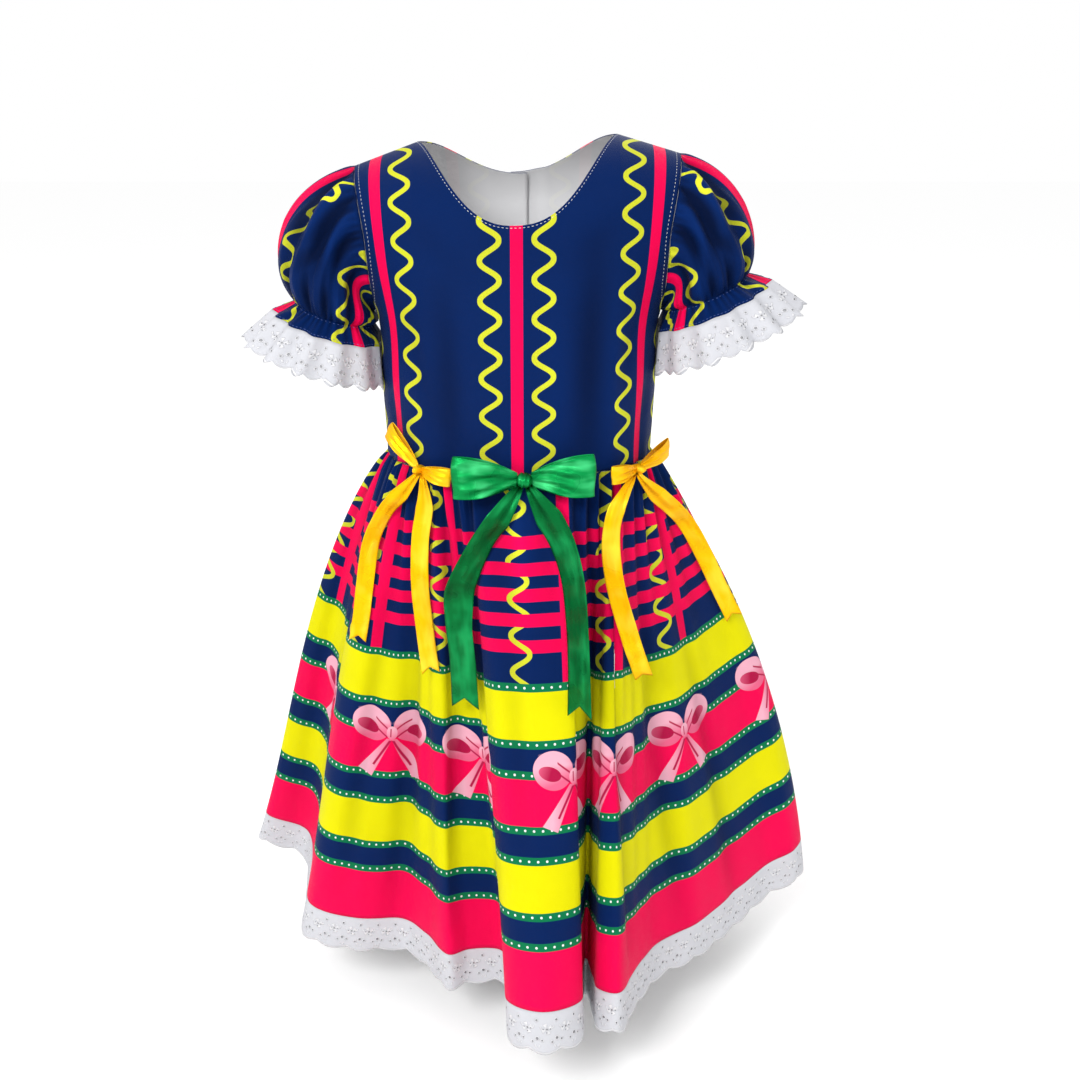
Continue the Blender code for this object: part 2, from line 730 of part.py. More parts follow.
def seam_shift(back, down):
    """Share of the panel's cloth that half a side seam's gap takes at this level."""
    step = 0.002
    shifts = []
    for end in (0.0, 1.0):
        ahead = skirt_point(end + step, back, down, False)
        behind = skirt_point(end - step, back, down, False)
        shifts.append(SIDE_SEAM * step / np.linalg.norm(ahead - behind))
    return shifts


def make_skirt(name, back):
    axis = SKIRT_MIDDLE

    def cloth_point(share, down):
        return skirt_point(share, back, down, True)

    def lace_point(share, down):
        return skirt_point(share, back, down, False)

    def row(count, depth_at):
        made = []
        for c in range(count + 1):
            share = c / count
            down = depth_at(share)
            left, right = seam_shift(back, down)
            made.append((min(max(share, left), 1 - right), down))
        return made

    count = 4 * (BACK_GATHERS if back else FRONT_GATHERS)
    net = np.array([row(count, lambda share, down=down: down) for down in SKIRT_DROPS])
    steps = (0.001, 0.002)
    add_wall(f"skirt_{name}", cloth_point, net, steps, CLOTH, "printed_cloth", axis)
    scallops = BACK_SCALLOPS if back else FRONT_SCALLOPS

    def lace_depth(share, level):
        edge = SKIRT_LACE - SCALLOP * (1 - abs(math.sin(math.pi * scallops * share)))
        return SKIRT_CLOTH + SEAM + level * (edge - SEAM)

    net = np.array([row(4 * scallops, lambda share, level=level: lace_depth(share, level))
                    for level in (0.0, 1.0)])
    add_wall(f"skirt_lace_{name}", lace_point, net, steps, LACE, "eyelet_lace", axis)


# Bows

def cover_points():
    """Outer points of the front of the dress, which the bows lie on."""
    points = [skirt_point(share, False, down) for share in np.linspace(0, 1, 667)
              for down in 0.24 * np.linspace(0, 1, 50) ** 1.5]
    points += [bodice_point(angle, drop, False) for angle in np.linspace(-1.5, 1.5, 91)
               for drop in np.linspace(drop_for(0.20), drop_for(0.251), 12)]
    return np.array(points)


def cover_depth(cover, x, z, wide, high):
    """Foremost depth of the dress within a window round a point."""
    near = (abs(cover[:, 0] - x) < wide) & (abs(cover[:, 2] - z) < high)
    return cover[near, 1].min()


def bow_frame(bow, cover):
    """Middle of the knot and its sideways and outward directions.

    The knot is an egg shape. Its back leaves a seam's gap to the dress.
    """
    half, front, _ = torso(WAIST_Z)
    angle = math.asin(bow["x"] / half)
    facing = unit(np.array((math.sin(angle) / half, -math.cos(angle) / front, 0.0)))
    sideways = np.array((-facing[1], facing[0], 0.0))
    waist = np.array((bow["x"], -front * math.cos(angle), bow["z"]))
    wide, deep, high = np.array(bow["knot"]) / 2
    away = cover - waist
    inside = 1 - (away @ sideways / wide) ** 2 - (away[:, 2] / high) ** 2
    near = inside > 0
    out = (away[near] @ facing + deep * np.sqrt(inside[near])).max() + SEAM
    return waist + facing * out, sideways, facing


def add_knot(name, bow, frame):
    place, _, facing = frame
    bpy.ops.mesh.primitive_uv_sphere_add(segments=12, ring_count=8, radius=0.5)
    knot = bpy.context.object
    knot.name = name
    knot.scale = bow["knot"]
    bpy.ops.object.transform_apply(location=False, rotation=False, scale=True)
    knot.location = place
    knot.rotation_euler = (0.0, 0.0, math.atan2(facing[0], -facing[1]))
    knot.data.materials.append(material(bow["surface"]))
    knot.data.shade_smooth()
    for home in knot.users_collection:
        home.objects.unlink(knot)
    bpy.data.collections[COLLECTION].objects.link(knot)


def add_loop(name, bow, frame, settings):
    """A band of ribbon that leaves the knot, turns round and comes back behind itself."""
    side, lift, length, lean = settings
    place, tangent, facing = frame
    upright = np.array((0.0, 0.0, 1.0))
    sideways = tangent * side
    lift = math.radians(lift)
    away = sideways * math.cos(lift) + upright * math.sin(lift)
    across = upright * math.cos(lift) - sideways * math.sin(lift)
    wide, _, high = bow["knot"]
    start = 1 / math.hypot(2 * math.cos(lift) / wide, 2 * math.sin(lift) / high) + SEAM

    def loop_point(turn, level):
        reach = (1 - math.cos(turn)) / 2
        open_out = 1 - (1 - reach) ** 2
        width = bow["pinch"] + (bow["ribbon"] - bow["pinch"]) * open_out
        puff = bow["puff"] * open_out if math.sin(turn) > 0 else 0.0
        off = (LOOP_GAP + puff) * math.sin(turn) + lean * reach * reach
        height = level * width / 2
        return place + away * (start + (length - start) * reach) + across * height + facing * off

    turns = 2 * math.pi * np.arange(LOOP_STEPS) / LOOP_STEPS
    net = np.array([[(turn, level) for turn in turns] for level in (-1.0, 0.0, 1.0)])
    inside = place + away * (start + length) / 2
    steps = (0.02, 0.02)
    add_wall(name, loop_point, net, steps, RIBBON, bow["surface"], inside, closed=True)


def add_tail(name, bow, frame, rows, cover):
    """A ribbon end that leaves the knot, hangs over the skirt and is cut to a notch."""
    place, sideways, facing = frame
    half = bow["tail_width"] / 2
    wide, deep, high = np.array(bow["knot"]) / 2
    side = math.copysign(1.0, rows[0][0] - place[0])
    under = high * math.sqrt(1 - TAIL_SET_BACK ** 2) + SEAM
    start = place + sideways * side * TAIL_APART * wide - facing * deep * TAIL_SET_BACK
    table = [np.array((start[0], start[2] - under, 0.0))]
    table += [np.array(row, dtype=float) for row in rows]
    line = along(smooth_line(table, closed=False), np.linspace(0, 1, 61), axes=2)
    depth = np.array([cover_depth(cover, x, z, half + 0.002, 0.006) for x, z, _ in line])
    depth = depth - TAIL_STAND_OFF - half * np.abs(np.sin(np.radians(line[:, 2])))
    depth[0] = start[1]
    for _ in range(12):
        depth[1:-1] = np.minimum(depth[1:-1], (depth[:-2] + depth[2:]) / 2)
    places = np.stack((line[:, 0], depth, line[:, 1], line[:, 2]), axis=-1)
    shares = np.linspace(0, 1, len(places))
    length = np.linalg.norm(np.diff(places[:, :3], axis=0), axis=1).sum()

    def spine(t):
        return np.array([np.interp(t, shares, places[:, k]) for k in range(4)])

    def tail_point(t, level):
        here = spine(t)
        step = 0.03
        run = unit(spine(min(t + step, 1.0))[:3] - spine(max(t - step, 0.0))[:3])
        flat = unit(np.cross(run, (0.0, -1.0, 0.0)))
        proud = np.cross(flat, run)
        turn = math.radians(here[3])
        across = flat * math.cos(turn) + proud * math.sin(turn)
        width = half * min(1.0, TAIL_ROOT + t / TAIL_SPREAD)
        return here[:3] + across * level * width

    notch = TAIL_NOTCH * bow["tail_width"] / length
    levels = np.append(np.linspace(0, 1 - 1.5 * notch, TAIL_STEPS), 1.0)
    net = []
    for t in levels:
        cut = notch * (t == 1.0)
        net.append([(t - cut * (1 - abs(level)), level) for level in (-1.0, 0.0, 1.0)])
    behind = places[len(places) // 2, :3] + (0.0, 0.1, 0.0)
    steps = (0.01, 0.05)
    add_wall(name, tail_point, np.array(net), steps, RIBBON, bow["surface"], behind)


def make_bows():
    cover = cover_points()
    for name, bow in BOWS.items():
        frame = bow_frame(bow, cover)
        add_knot(f"{name}_knot", bow, frame)
        for side, settings in bow["loops"].items():
            add_loop(f"{name}_loop_{side}", bow, frame, settings)
        for side, rows in bow["tails"].items():
            add_tail(f"{name}_tail_{side}", bow, frame, rows, cover)


def build():
    for old in list(bpy.data.objects):
        bpy.data.objects.remove(old, do_unlink=True)
    home = bpy.data.collections.new(COLLECTION)
    bpy.context.scene.collection.children.link(home)
    make_bodice()
    make_buttons()
    for side in SLEEVES:
        make_sleeve(side)
    make_skirt("front", back=False)
    make_skirt("back", back=True)
    make_bows()


build()
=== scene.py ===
"""Looks of the festa junina dress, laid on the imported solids.

Metres, +Z up. The front faces -Y, and left is the wearer's left, +X. Each cloth
piece is a thin shell on the form of its solid, with finer gathers and creases, and
its UV map is its cut in metres, which the prints, weaves and laces follow.
"""
import math

import bmesh
import bpy
import numpy as np
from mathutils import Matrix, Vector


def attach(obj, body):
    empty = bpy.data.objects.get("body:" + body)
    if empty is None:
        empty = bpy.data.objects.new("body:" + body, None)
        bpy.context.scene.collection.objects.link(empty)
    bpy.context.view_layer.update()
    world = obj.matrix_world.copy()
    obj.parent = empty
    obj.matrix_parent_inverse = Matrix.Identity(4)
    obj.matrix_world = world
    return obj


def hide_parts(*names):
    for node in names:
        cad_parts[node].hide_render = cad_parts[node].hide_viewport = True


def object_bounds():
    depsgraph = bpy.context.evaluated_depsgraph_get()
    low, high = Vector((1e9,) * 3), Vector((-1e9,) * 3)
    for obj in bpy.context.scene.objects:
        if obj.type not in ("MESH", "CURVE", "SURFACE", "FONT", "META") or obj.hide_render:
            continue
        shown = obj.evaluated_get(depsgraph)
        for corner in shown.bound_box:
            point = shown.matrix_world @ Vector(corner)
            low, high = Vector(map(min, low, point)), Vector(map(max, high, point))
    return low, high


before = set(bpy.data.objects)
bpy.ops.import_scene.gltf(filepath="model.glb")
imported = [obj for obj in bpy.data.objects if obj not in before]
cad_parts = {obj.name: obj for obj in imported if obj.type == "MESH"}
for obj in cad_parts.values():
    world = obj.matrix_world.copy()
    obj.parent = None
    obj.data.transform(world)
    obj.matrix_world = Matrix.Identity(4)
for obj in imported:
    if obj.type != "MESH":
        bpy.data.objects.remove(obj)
CAD_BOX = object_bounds()

# Thickness of the goods, and the gaps that stand for their seams
CLOTH = 0.0007
LACE = 0.0006
RIBBON = 0.0004
SEAM = 0.0003
ARMHOLE_SEAM = 0.0006
RIDGE_SEAM = 0.0004
# Depth of a crease that is fully in shade, and how much a ridge is lit, as less shade
FOLD_SHADE = 0.0075
RIDGE_LIGHT = -0.4

# Bodice
WAIST_Z = -0.251
SHOULDER_SLOPE = math.tan(math.radians(18))
SHOULDER_LEAN = 0.036
SHOULDER_ROUND = 0.055
SHOULDER_QUARTER = SHOULDER_ROUND * math.pi / 2
# Degrees that the print is seen from above, over the round of the shoulder
PRINT_LEAN = 20
NECK_HALF_WIDTH = 0.078
SHOULDER_TIP = 0.127
UNDERARM_Z = -0.137
FRONT_NECK_Z = -0.0595
BACK_NECK_Z = -0.030
NECK_CURVE = 2.4
ARMHOLE_CURVE = 4.0
NECK_SHARE = 0.60
ARMHOLE_SHARE = 0.50
ROW_SPACING = 1.35
ARMHOLE_SPACING = 1.5
CHEST_MIDDLE = np.array((0.0, 0.0, -0.15))
TORSO = (
    # height, half width, depth in front, depth behind
    (-0.251, 0.1110, 0.0880, 0.0740),
    (-0.190, 0.1135, 0.0860, 0.0760),
    (-0.137, 0.1150, 0.0830, 0.0770),
    (-0.080, 0.1380, 0.0790, 0.0740),
    (-0.020, 0.1600, 0.0750, 0.0680),
    (0.010, 0.1650, 0.0740, 0.0660),
)
PANELS = (("front", False), ("back", True))
BACK_LAP = 0.014
LAP_LIFT = 0.0021
LAP_RAMP = 0.012
LAP_FLAT = 0.006
BUTTON_RADIUS = 0.0055
BUTTON_HEIGHT = 0.0024
BUTTON_HEIGHTS = (-0.045, -0.115, -0.185)
BODICE_ROWS = 110
BODICE_COLUMNS = 72
TUCK_HEIGHT = 0.0007
TUCK_FADE = 0.014
# Radians of the tucks' wave for each metre across, and of the wave that makes them uneven
TUCK_WAVES = (330, 41)
# How much the creases are shaded for their height
BODICE_SHADE = 1.4
SLEEVE_SHADE = 1.5
SKIRT_SHADE = 0.6
GATHER_SHADE = 1.5

# Sleeves
SLEEVES = {
    # side: sign of x, elastic's centre x and z, tilt, radii, reach of the puff above and below
    "left": dict(sign=1, x=0.1520, z=-0.1180, tilt=24, across=0.0350, deep=0.042,
                 rise=0.040, back=0.036),
    "right": dict(sign=-1, x=0.1500, z=-0.1350, tilt=18, across=0.0315, deep=0.041,
                  rise=0.048, back=0.052),
}
PUFF_DROOP = 0.30
PUFF_UNDERARM = 0.25
PUFF_ROUND = 0.7
PUFF_TURN_OUT = 0.35
PUFF_ARRIVE = (0.85, 0.50)
GATHER_UNDERARM = 0.35
SLEEVE_GATHER = 0.0022
SLEEVE_WAVES = 14
FRILL = 0.019
SLEEVE_LACE = 0.035
FRILL_FLARE = 49
LACE_FLARE = 29
FRILL_WAVE = 0.0018
LACE_WAVE = 0.0045
SCALLOP = 0.0040
WAVE_AT_ELASTIC = 0.30
WAVE_AT_BODY = 0.40
SLEEVE_CLEAR = 0.0026
CLEAR_ABOVE = 0.004
SLEEVE_COLUMNS = 16 * SLEEVE_WAVES
PUFF_ROWS = 41
# Rows of the puff whose girth is the sleeve's girth on the cut
GIRTH_ROWS = slice(8, 32)
FRILL_ROWS = 9
LACE_ROWS = 11
SMALL_GATHER = 0.0011
# Shares of the puff over which its small gathers fade, from the head and from the elastic
HEAD_FADE = 0.13
ELASTIC_FADE = 0.10
PLEAT_HEIGHT = 0.0008
PLEAT_FADE = 0.012
# Height given to the frill's pleats for their painted shade
PLEAT_SHADE = 0.0035
SLEEVE_SWAY = 0.0016
CUFF_LENGTH = 0.40
FORWARD = np.array((0.0, -1.0, 0.0))
UPRIGHT = np.array((0.0, 0.0, 1.0))
# Turn of the stripe on the outside of the sleeve, in degrees towards the front
SLEEVE_STRIPE_TURN = 14

# Skirt
SKIRT_CLOTH = 0.431
SKIRT_LACE = 0.036
SKIRT_LENGTH = SKIRT_CLOTH + SKIRT_LACE
SIDE_GAP = 0.0001
FRONT_BELL = 0.12
FRONT_FADE = 2.0
LEFT_BELL = (0.62, 1.0)
RIGHT_BELL = (0.75, 2.0)
GATHER_DEPTH = 0.0026
GATHER_AT_WAIST = 0.35
GATHER_GROW = 0.020
GATHER_FADE = 0.085
SMALL_GROW = 0.010
SMALL_FADE = 0.035
# The middle gore: its share of the panel, and how much of the waist it keeps flat
GORE = (0.478, 0.550)
GORE_FLAT = 0.18
GORE_BLEND = 0.15
SIDE_FADE = 0.02
DRIFT = 0.0008
SKIRT_MIDDLE = np.array((0.0, 0.0, -0.45))
# Of the front and of the back
PANEL_WIDTH = {False: 1.02, True: 0.93}
GATHERS = {False: 24, True: 20}
SCALLOPS = {False: 36, True: 32}
SKIRT_COLUMNS = {False: 384, True: 320}
SKIRT_ROWS = {False: 100, True: 84}
# Columns over which the cloth that the gathers show is averaged
SHOWN_WINDOW = 13
# Steps in which the height down the skirt is summed
SLOPE_STEPS = 24

# Plan of the hem, seen from above: where each fold of the front stands
HEM_FRONT = (
    # fold, x, y
    ("right side seam", -0.262, 0.076),
    ("right side ridge", -0.268, 0.058),
    ("right side valley", -0.224, 0.050),
    ("turn behind the gore", -0.211, -0.010),
    ("right gore corner", -0.203, -0.063),
    ("right gore face", -0.158, -0.075),
    ("right gore dip", -0.112, -0.070),
    ("rise to the ridge", -0.086, -0.092),
    ("right front ridge", -0.064, -0.125),
    ("recess", -0.044, -0.116),
    ("recess end", -0.014, -0.119),
    ("middle gore wall", -0.008, -0.160),
    ("middle gore edge", -0.008, -0.200),
    ("middle gore", 0.022, -0.219),
    ("middle gore far edge", 0.052, -0.201),
    ("deep fold near wall", 0.053, -0.165),
    ("deep fold", 0.0575, -0.129),
    ("deep fold far wall", 0.062, -0.160),
    ("left front edge", 0.065, -0.186),
    ("left front ridge", 0.084, -0.197),
    ("fall from the ridge", 0.101, -0.154),
    ("left gore", 0.125, -0.112),
    ("left gore face", 0.160, -0.089),
    ("left gore turn", 0.200, -0.050),
    ("left side face", 0.238, -0.014),
    ("left side ridge", 0.268, -0.004),
    ("left side seam", 0.275, 0.022),
)
HEM_BACK = (
    # fold, x, y
    ("valley", 0.234, 0.062),
    ("ridge", 0.246, 0.116),
    ("valley", 0.180, 0.128),
    ("ridge", 0.164, 0.190),
    ("valley", 0.100, 0.164),
    ("ridge", 0.066, 0.224),
    ("valley", 0.018, 0.172),
    ("ridge", -0.032, 0.230),
    ("valley", -0.072, 0.170),
    ("ridge", -0.124, 0.208),
    ("valley", -0.154, 0.142),
    ("ridge", -0.208, 0.154),
    ("valley", -0.212, 0.100),
)

# Bows: loops by side, lift, length and lean; tails by their middle line and turn
BOWS = {
    "green_bow": dict(
        x=0.005, z=-0.2500, surface="green_satin", knot=(0.0125, 0.0150, 0.0120),
        ribbon=0.034, pinch=0.011, puff=0.0050,
        loops={"right": (-1, 4, 0.056, 0.004), "left": (1, 5, 0.055, 0.004)},
        tail_width=0.024,
        tails={
            "right": (
                # x, z, turn
                (-0.0140, -0.2774, 30),
                (-0.0290, -0.2990, 35),
                (-0.0450, -0.3340, 15),
                (-0.0480, -0.3640, -20),
                (-0.0450, -0.4000, -25),
                (-0.0435, -0.4390, -20),
            ),
            "left": (
                (0.0240, -0.2780, -20),
                (0.0350, -0.2980, -30),
                (0.0430, -0.3250, -40),
                (0.0465, -0.3600, -45),
                (0.0480, -0.3950, -45),
                (0.0485, -0.4300, -40),
            ),
        },
    ),
    "gold_bow_right": dict(
        x=-0.0756, z=-0.2495, surface="gold_satin", knot=(0.0072, 0.0125, 0.0072),
        ribbon=0.0150, pinch=0.0060, puff=0.0026,
        loops={"right": (-1, 42, 0.043, -0.001), "left": (1, -4, 0.031, -0.003)},
        tail_width=0.0145,
        tails={
            "right": (
                (-0.0921, -0.2675, 10),
                (-0.1090, -0.2880, 25),
                (-0.1220, -0.3150, 20),
                (-0.1285, -0.3500, 5),
                (-0.1330, -0.3800, 0),
                (-0.1375, -0.4040, 0),
            ),
            "left": (
                (-0.0746, -0.2760, -15),
                (-0.0790, -0.3050, -10),
                (-0.0805, -0.3400, 0),
                (-0.0775, -0.3750, 5),
                (-0.0725, -0.4170, 5),
            ),
        },
    ),
    "gold_bow_left": dict(
        x=0.0915, z=-0.2530, surface="gold_satin", knot=(0.0075, 0.0135, 0.0072),
        ribbon=0.0150, pinch=0.0060, puff=0.0026,
        loops={"right": (-1, 2, 0.033, -0.002), "left": (1, 13, 0.044, -0.001)},
        tail_width=0.0150,
        tails={
            "right": (
                (0.0800, -0.2750, 15),
                (0.0748, -0.2920, 20),
                (0.0745, -0.3150, 0),
                (0.0790, -0.3420, -10),
                (0.0890, -0.3750, -5),
                (0.1030, -0.4180, 0),
            ),
            "left": (
                (0.1133, -0.2760, -5),
                (0.1321, -0.2970, -10),
                (0.1467, -0.3180, -10),
                (0.1610, -0.3450, 0),
                (0.1740, -0.3720, 5),
                (0.1900, -0.4040, 5),
            ),
        },
    ),
}
TAIL_STAND_OFF = 0.0018
TAIL_SET_BACK = 0.50
TAIL_APART = 0.45
TAIL_NOTCH = 0.40
TAIL_ROOT = 0.20
TAIL_SPREAD = 0.20
TAIL_FOLD = 0.0012
TAIL_FOLD_FADE = 0.22
TAIL_ROLL = 0.0008
LOOP_GAP = 0.0015
# Ribbon and half tail of the widest bow, which the folds of the others are scaled from
WIDE_RIBBON = 0.034
WIDE_TAIL = 0.012
LOOP_FAN = 0.0016
LOOP_BELLY = 0.0022
LOOP_CRINKLE = 0.0011

# Sewing
STITCH = 0.0018
STITCH_GAP = 0.0014
THREAD_RADIUS = 0.00022
NECK_INSET = 0.0017
ARMHOLE_INSET = 0.0035
CUFF_STITCHES = (
    # name for a side, way down from the elastic, rise above it, stand off, length, gap
    ("elastic_stitch_{}_1", 0.0, 0.0015, 0.0003, 0.0016, 0.0022),
    ("elastic_stitch_{}_2", 0.0015, 0.0, 0.0003, 0.0016, 0.0022),
    ("lace_stitch_{}", FRILL - 0.0022, 0.0, 0.0002, STITCH, STITCH_GAP),
)
# Of a button's height and radius: where the thread lies, and how far out the holes are
BUTTON_FACE = 0.66
BUTTON_HOLE = 0.2
BUTTON_THREAD = 0.0003
BUTTON_PROFILE = (
    # share of the radius, share of the height
    (0.00, 0.62),
    (0.45, 0.60),
    (0.62, 0.70),
    (0.80, 0.98),
    (0.93, 0.90),
    (1.00, 0.55),
    (0.97, 0.20),
    (0.80, 0.02),
    (0.00, 0.00),
)

# Print, in metres of cloth
WAVE_PERIOD = 0.0293
WAVE_SWING = 0.0073
WAVE_STROKE = 0.0041
BODICE_WAVE_AT = 0.0090
BODICE_REPEAT = 0.1100
BODICE_STRIPE = 0.0095
BODICE_WAVE = 0.0205
# Past the outer stripes the wave stands this much farther out
BODICE_WAVE_OUT = 0.0135
SLEEVE_REPEAT = 0.1160
# The waves stand closer to the stripes beside the armhole than to the outer one
SLEEVE_WAVE = 0.0280
SLEEVE_INNER_WAVE = 0.0180
SKIRT_REPEAT = 0.165
SKIRT_STRIPE = 0.0090
SKIRT_WAVE = 0.0400
SKIRT_STRIPE_AT = 0.0615
BARS = (0.050, 0.0715, 0.092, 0.112, 0.133)
BAR_HEIGHT = 0.0105
# Bars that the wave crosses, the others cover it
CROSSED_BARS = (0.092, 0.133)
RIBBONS = (0.166, 0.212, 0.237, 0.282, 0.307, 0.353, 0.378)
RIBBON_PRINT = 0.0068
DOT_PERIOD = 0.0075
DOT_RADIUS = 0.0010
# Where the gathers show less than this share of the cloth they hide every other wavy line
WAVE_HIDDEN = 0.80
MOTIF_REPEAT = 0.150
MOTIF_AT = 0.110
MOTIF_LEVEL = 0.241
MOTIF_SIZE = 0.034
PRINT_EDGE = 0.00025

# Weave and lace, in metres of cloth, with levels as shares of the lace's depth
WEAVE_PITCH = 0.0009
WEAVE_DEPTH = 0.00025
WEAVE_SHARE = 0.4
# Slubs of the thread and clouds of its colour for each metre
SLUB_GRAIN = 380.0
CLOTH_CLOUD = 28.0
# How dark the painted shade makes the deepest folds, and how much of the print shows on the reverse
FOLD_DARKNESS = 0.62
PRINT_THROUGH = 0.05
LACE_REPEAT = 0.0165
LACE_EDGE = 0.0004
HOLE_EDGE = 0.0002
FLOWER_LEVEL = 0.40
PETAL = 0.0030
PETAL_HALF = 0.0016
PETAL_EYE = 0.00055
FLOWER_EYE = 0.0008
FLOWER_RIM = 0.0013
EYE_RIM = 0.0007
LEAF = 0.0007
LACE_DEPTH = 0.0005
LACE_EYES = (
    # share of the repeat, level, size
    (0.50, 0.62, 0.0012),
    (0.50, 0.20, 0.0009),
    (0.25, 0.70, 0.0008),
    (0.75, 0.66, 0.0008),
)
LACE_SPRIGS = (
    # share of the repeat, level, lean
    (0.32, 0.36, 0.6),
    (0.68, 0.36, -0.6),
    (0.40, 0.80, -0.5),
    (0.60, 0.80, 0.5),
)

# Colours of the print
NAVY = (0.0005, 0.0120, 0.0760)
PINK = (0.7200, 0.0005, 0.0640)
WAVE_YELLOW = (0.5000, 0.5200, 0.0240)
YELLOW = (0.6400, 0.6000, 0.0005)
RIBBON_GREEN = (0.0030, 0.1500, 0.0560)
PALE_PINK = (0.7200, 0.3600, 0.4500)
MID_PINK = (0.6600, 0.1100, 0.2100)
DEEP_PINK = (0.3600, 0.0060, 0.0500)
WHITE = (0.7600, 0.7600, 0.7700)
# Colours of the bands below each ribbon of the skirt's print
BANDS = (YELLOW, NAVY, PINK, NAVY, YELLOW, NAVY, PINK)
# Lace, and the shade inside the worked rim of an eyelet
LACE_GROUND = (0.4700, 0.4750, 0.5050)
LACE_THREAD = (0.6100, 0.6100, 0.6300)
EYELET_SHADE = (0.1500, 0.1550, 0.1800)
# Satin is painted brightest where it faces this way, to the front and a little up,
# and painted shade darkens it where it turns aside
SATIN_FRONT = (0.0, -0.94, 0.34)
# Streaks for each metre along and across the ribbon, and crinkles for each metre
SATIN_STREAKS = (20.0, 85.0)
SATIN_CRINKLES = 50.0
SATIN_THREAD = 0.0006
SATIN_DEPTH = 0.0024
SATINS = {
    # name, bright colour of the painted highlights, middle colour, deep colour of the painted shade
    "green_satin": ("satin_green", (0.06, 0.60, 0.21), (0.001, 0.23, 0.050), (0.0, 0.07, 0.016)),
    # The tails are a darker copy of the green satin, with more painted shade
    "green_tails_shaded": ("satin_green_tails", (0.006, 0.25, 0.065), (0.0005, 0.115, 0.024),
                    (0.0, 0.040, 0.009)),
    "gold_satin": ("satin_gold", (0.92, 0.60, 0.03), (0.88, 0.47, 0.001), (0.70, 0.32, 0.001)),
}

# Stage
FLOOR_REACH = 12.0
FLOOR_GAP = 0.06
LIT_POINT = np.array((0.0, 0.0, -0.35))
LIGHTS = (
    # name, place, size, power
    ("key", (-1.0, -1.9, 1.3), 0.9, 52.0),
    ("fill", (1.7, -1.6, 0.5), 1.8, 6.0),
    ("back", (0.6, 2.0, 1.3), 1.8, 16.0),
)
LENS = 40.13
CAMERA_PLACE = (0.0175, -0.991, 0.0285)
# Degrees that the camera looks down
CAMERA_DOWN = 20.13


# Curves and nets

def unit(vector):
    return vector / np.linalg.norm(vector, axis=-1, keepdims=True)


def ease(share):
    """A share from 0 to 1 with a soft start and end."""
    return share * share * (3 - 2 * share)


def fade_ends(share, width):
    """One along a span from 0 to 1, falling to nothing over a width at both ends."""
    return np.minimum(np.minimum(share, 1 - share) / width, 1)


def pair(first, second):
    """Two numbers for each point of a net, such as its place on the cut."""
    return np.stack(np.broadcast_arrays(first, second), axis=-1)


def table_at(table, places, at):
    """Rows of a table between its own, whose places are given."""
    return np.stack([np.interp(at, places, column) for column in table.T], axis=-1)


def travelled(line):
    """Length along a line up to each of its points."""
    return np.concatenate(([0.0], np.cumsum(np.linalg.norm(np.diff(line, axis=0), axis=1))))


def hermite(places, values, slopes, at):
    """Smooth curve through a table's column."""
    at = np.clip(at, places[0], places[-1])
    i = np.clip(np.searchsorted(places, at, side="right") - 1, 0, len(places) - 2)
    span = places[i + 1] - places[i]
    t = (at - places[i]) / span
    lead = t * (1 - t) ** 2 * slopes[i] * span
    tail = t * t * (t - 1) * slopes[i + 1] * span
    return values[i] + (values[i + 1] - values[i]) * ease(t) + lead + tail


def smooth_line(points, closed, steps=24):
    """Dense points on a smooth curve through the given ones."""
    points = np.array(points, dtype=float)
    count = len(points)
    line = []
    for i in range(count if closed else count - 1):
        near = [i + k for k in (-1, 0, 1, 2)]
        p = [points[k % count if closed else min(max(k, 0), count - 1)] for k in near]
        t = np.arange(steps)[:, None] / steps
        line.append(0.5 * (2 * p[1] + (p[2] - p[0]) * t
                           + (2 * p[0] - 5 * p[1] + 4 * p[2] - p[3]) * t * t
                           + (3 * p[1] - p[0] - 3 * p[2] + p[3]) * t ** 3))
    if not closed:
        line.append(points[-1:])
    return np.concatenate(line)


def along(line, fractions, axes=None):
    """Points of a line at fractions of its length, which its first axes measure."""
    travel = travelled(line[:, :axes])
    return table_at(line, travel, np.asarray(fractions) * travel[-1])


def closed_line(line):
    return np.concatenate((line, line[:1]))


def net_normals(net, closed=False):
    """Unit normals of a net of points, rows by columns."""
    if closed:
        wide = np.concatenate((net[:, -1:], net, net[:, :1]), axis=1)
        across = np.gradient(wide, axis=1)[:, 1:-1]
    else:
        across = np.gradient(net, axis=1)
    return unit(np.cross(across, np.gradient(net, axis=0)))


def crease_field(u, v, table):
    """Soft troughs and ridges: each row of the table is one crease on the cloth."""
    field = np.zeros_like(u)
    for _, u0, v0, u1, v1, width, height in table:
        run_u, run_v = u1 - u0, v1 - v0
        length = math.hypot(run_u, run_v)
        share = np.clip(((u - u0) * run_u + (v - v0) * run_v) / length ** 2, 0, 1)
        away = np.hypot(u - u0 - share * run_u, v - v0 - share * run_v)
        field += height * np.exp(-(away / width) ** 2) * (0.35 + 0.65 * np.sin(math.pi * share))
    return field


# Objects

def dress(piece, nodes):
    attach(piece, "root")
    if nodes:
        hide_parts(*nodes)
    return piece


def new_object(name, data):
    piece = bpy.data.objects.new(name, data)
    bpy.context.scene.collection.objects.link(piece)
    return piece


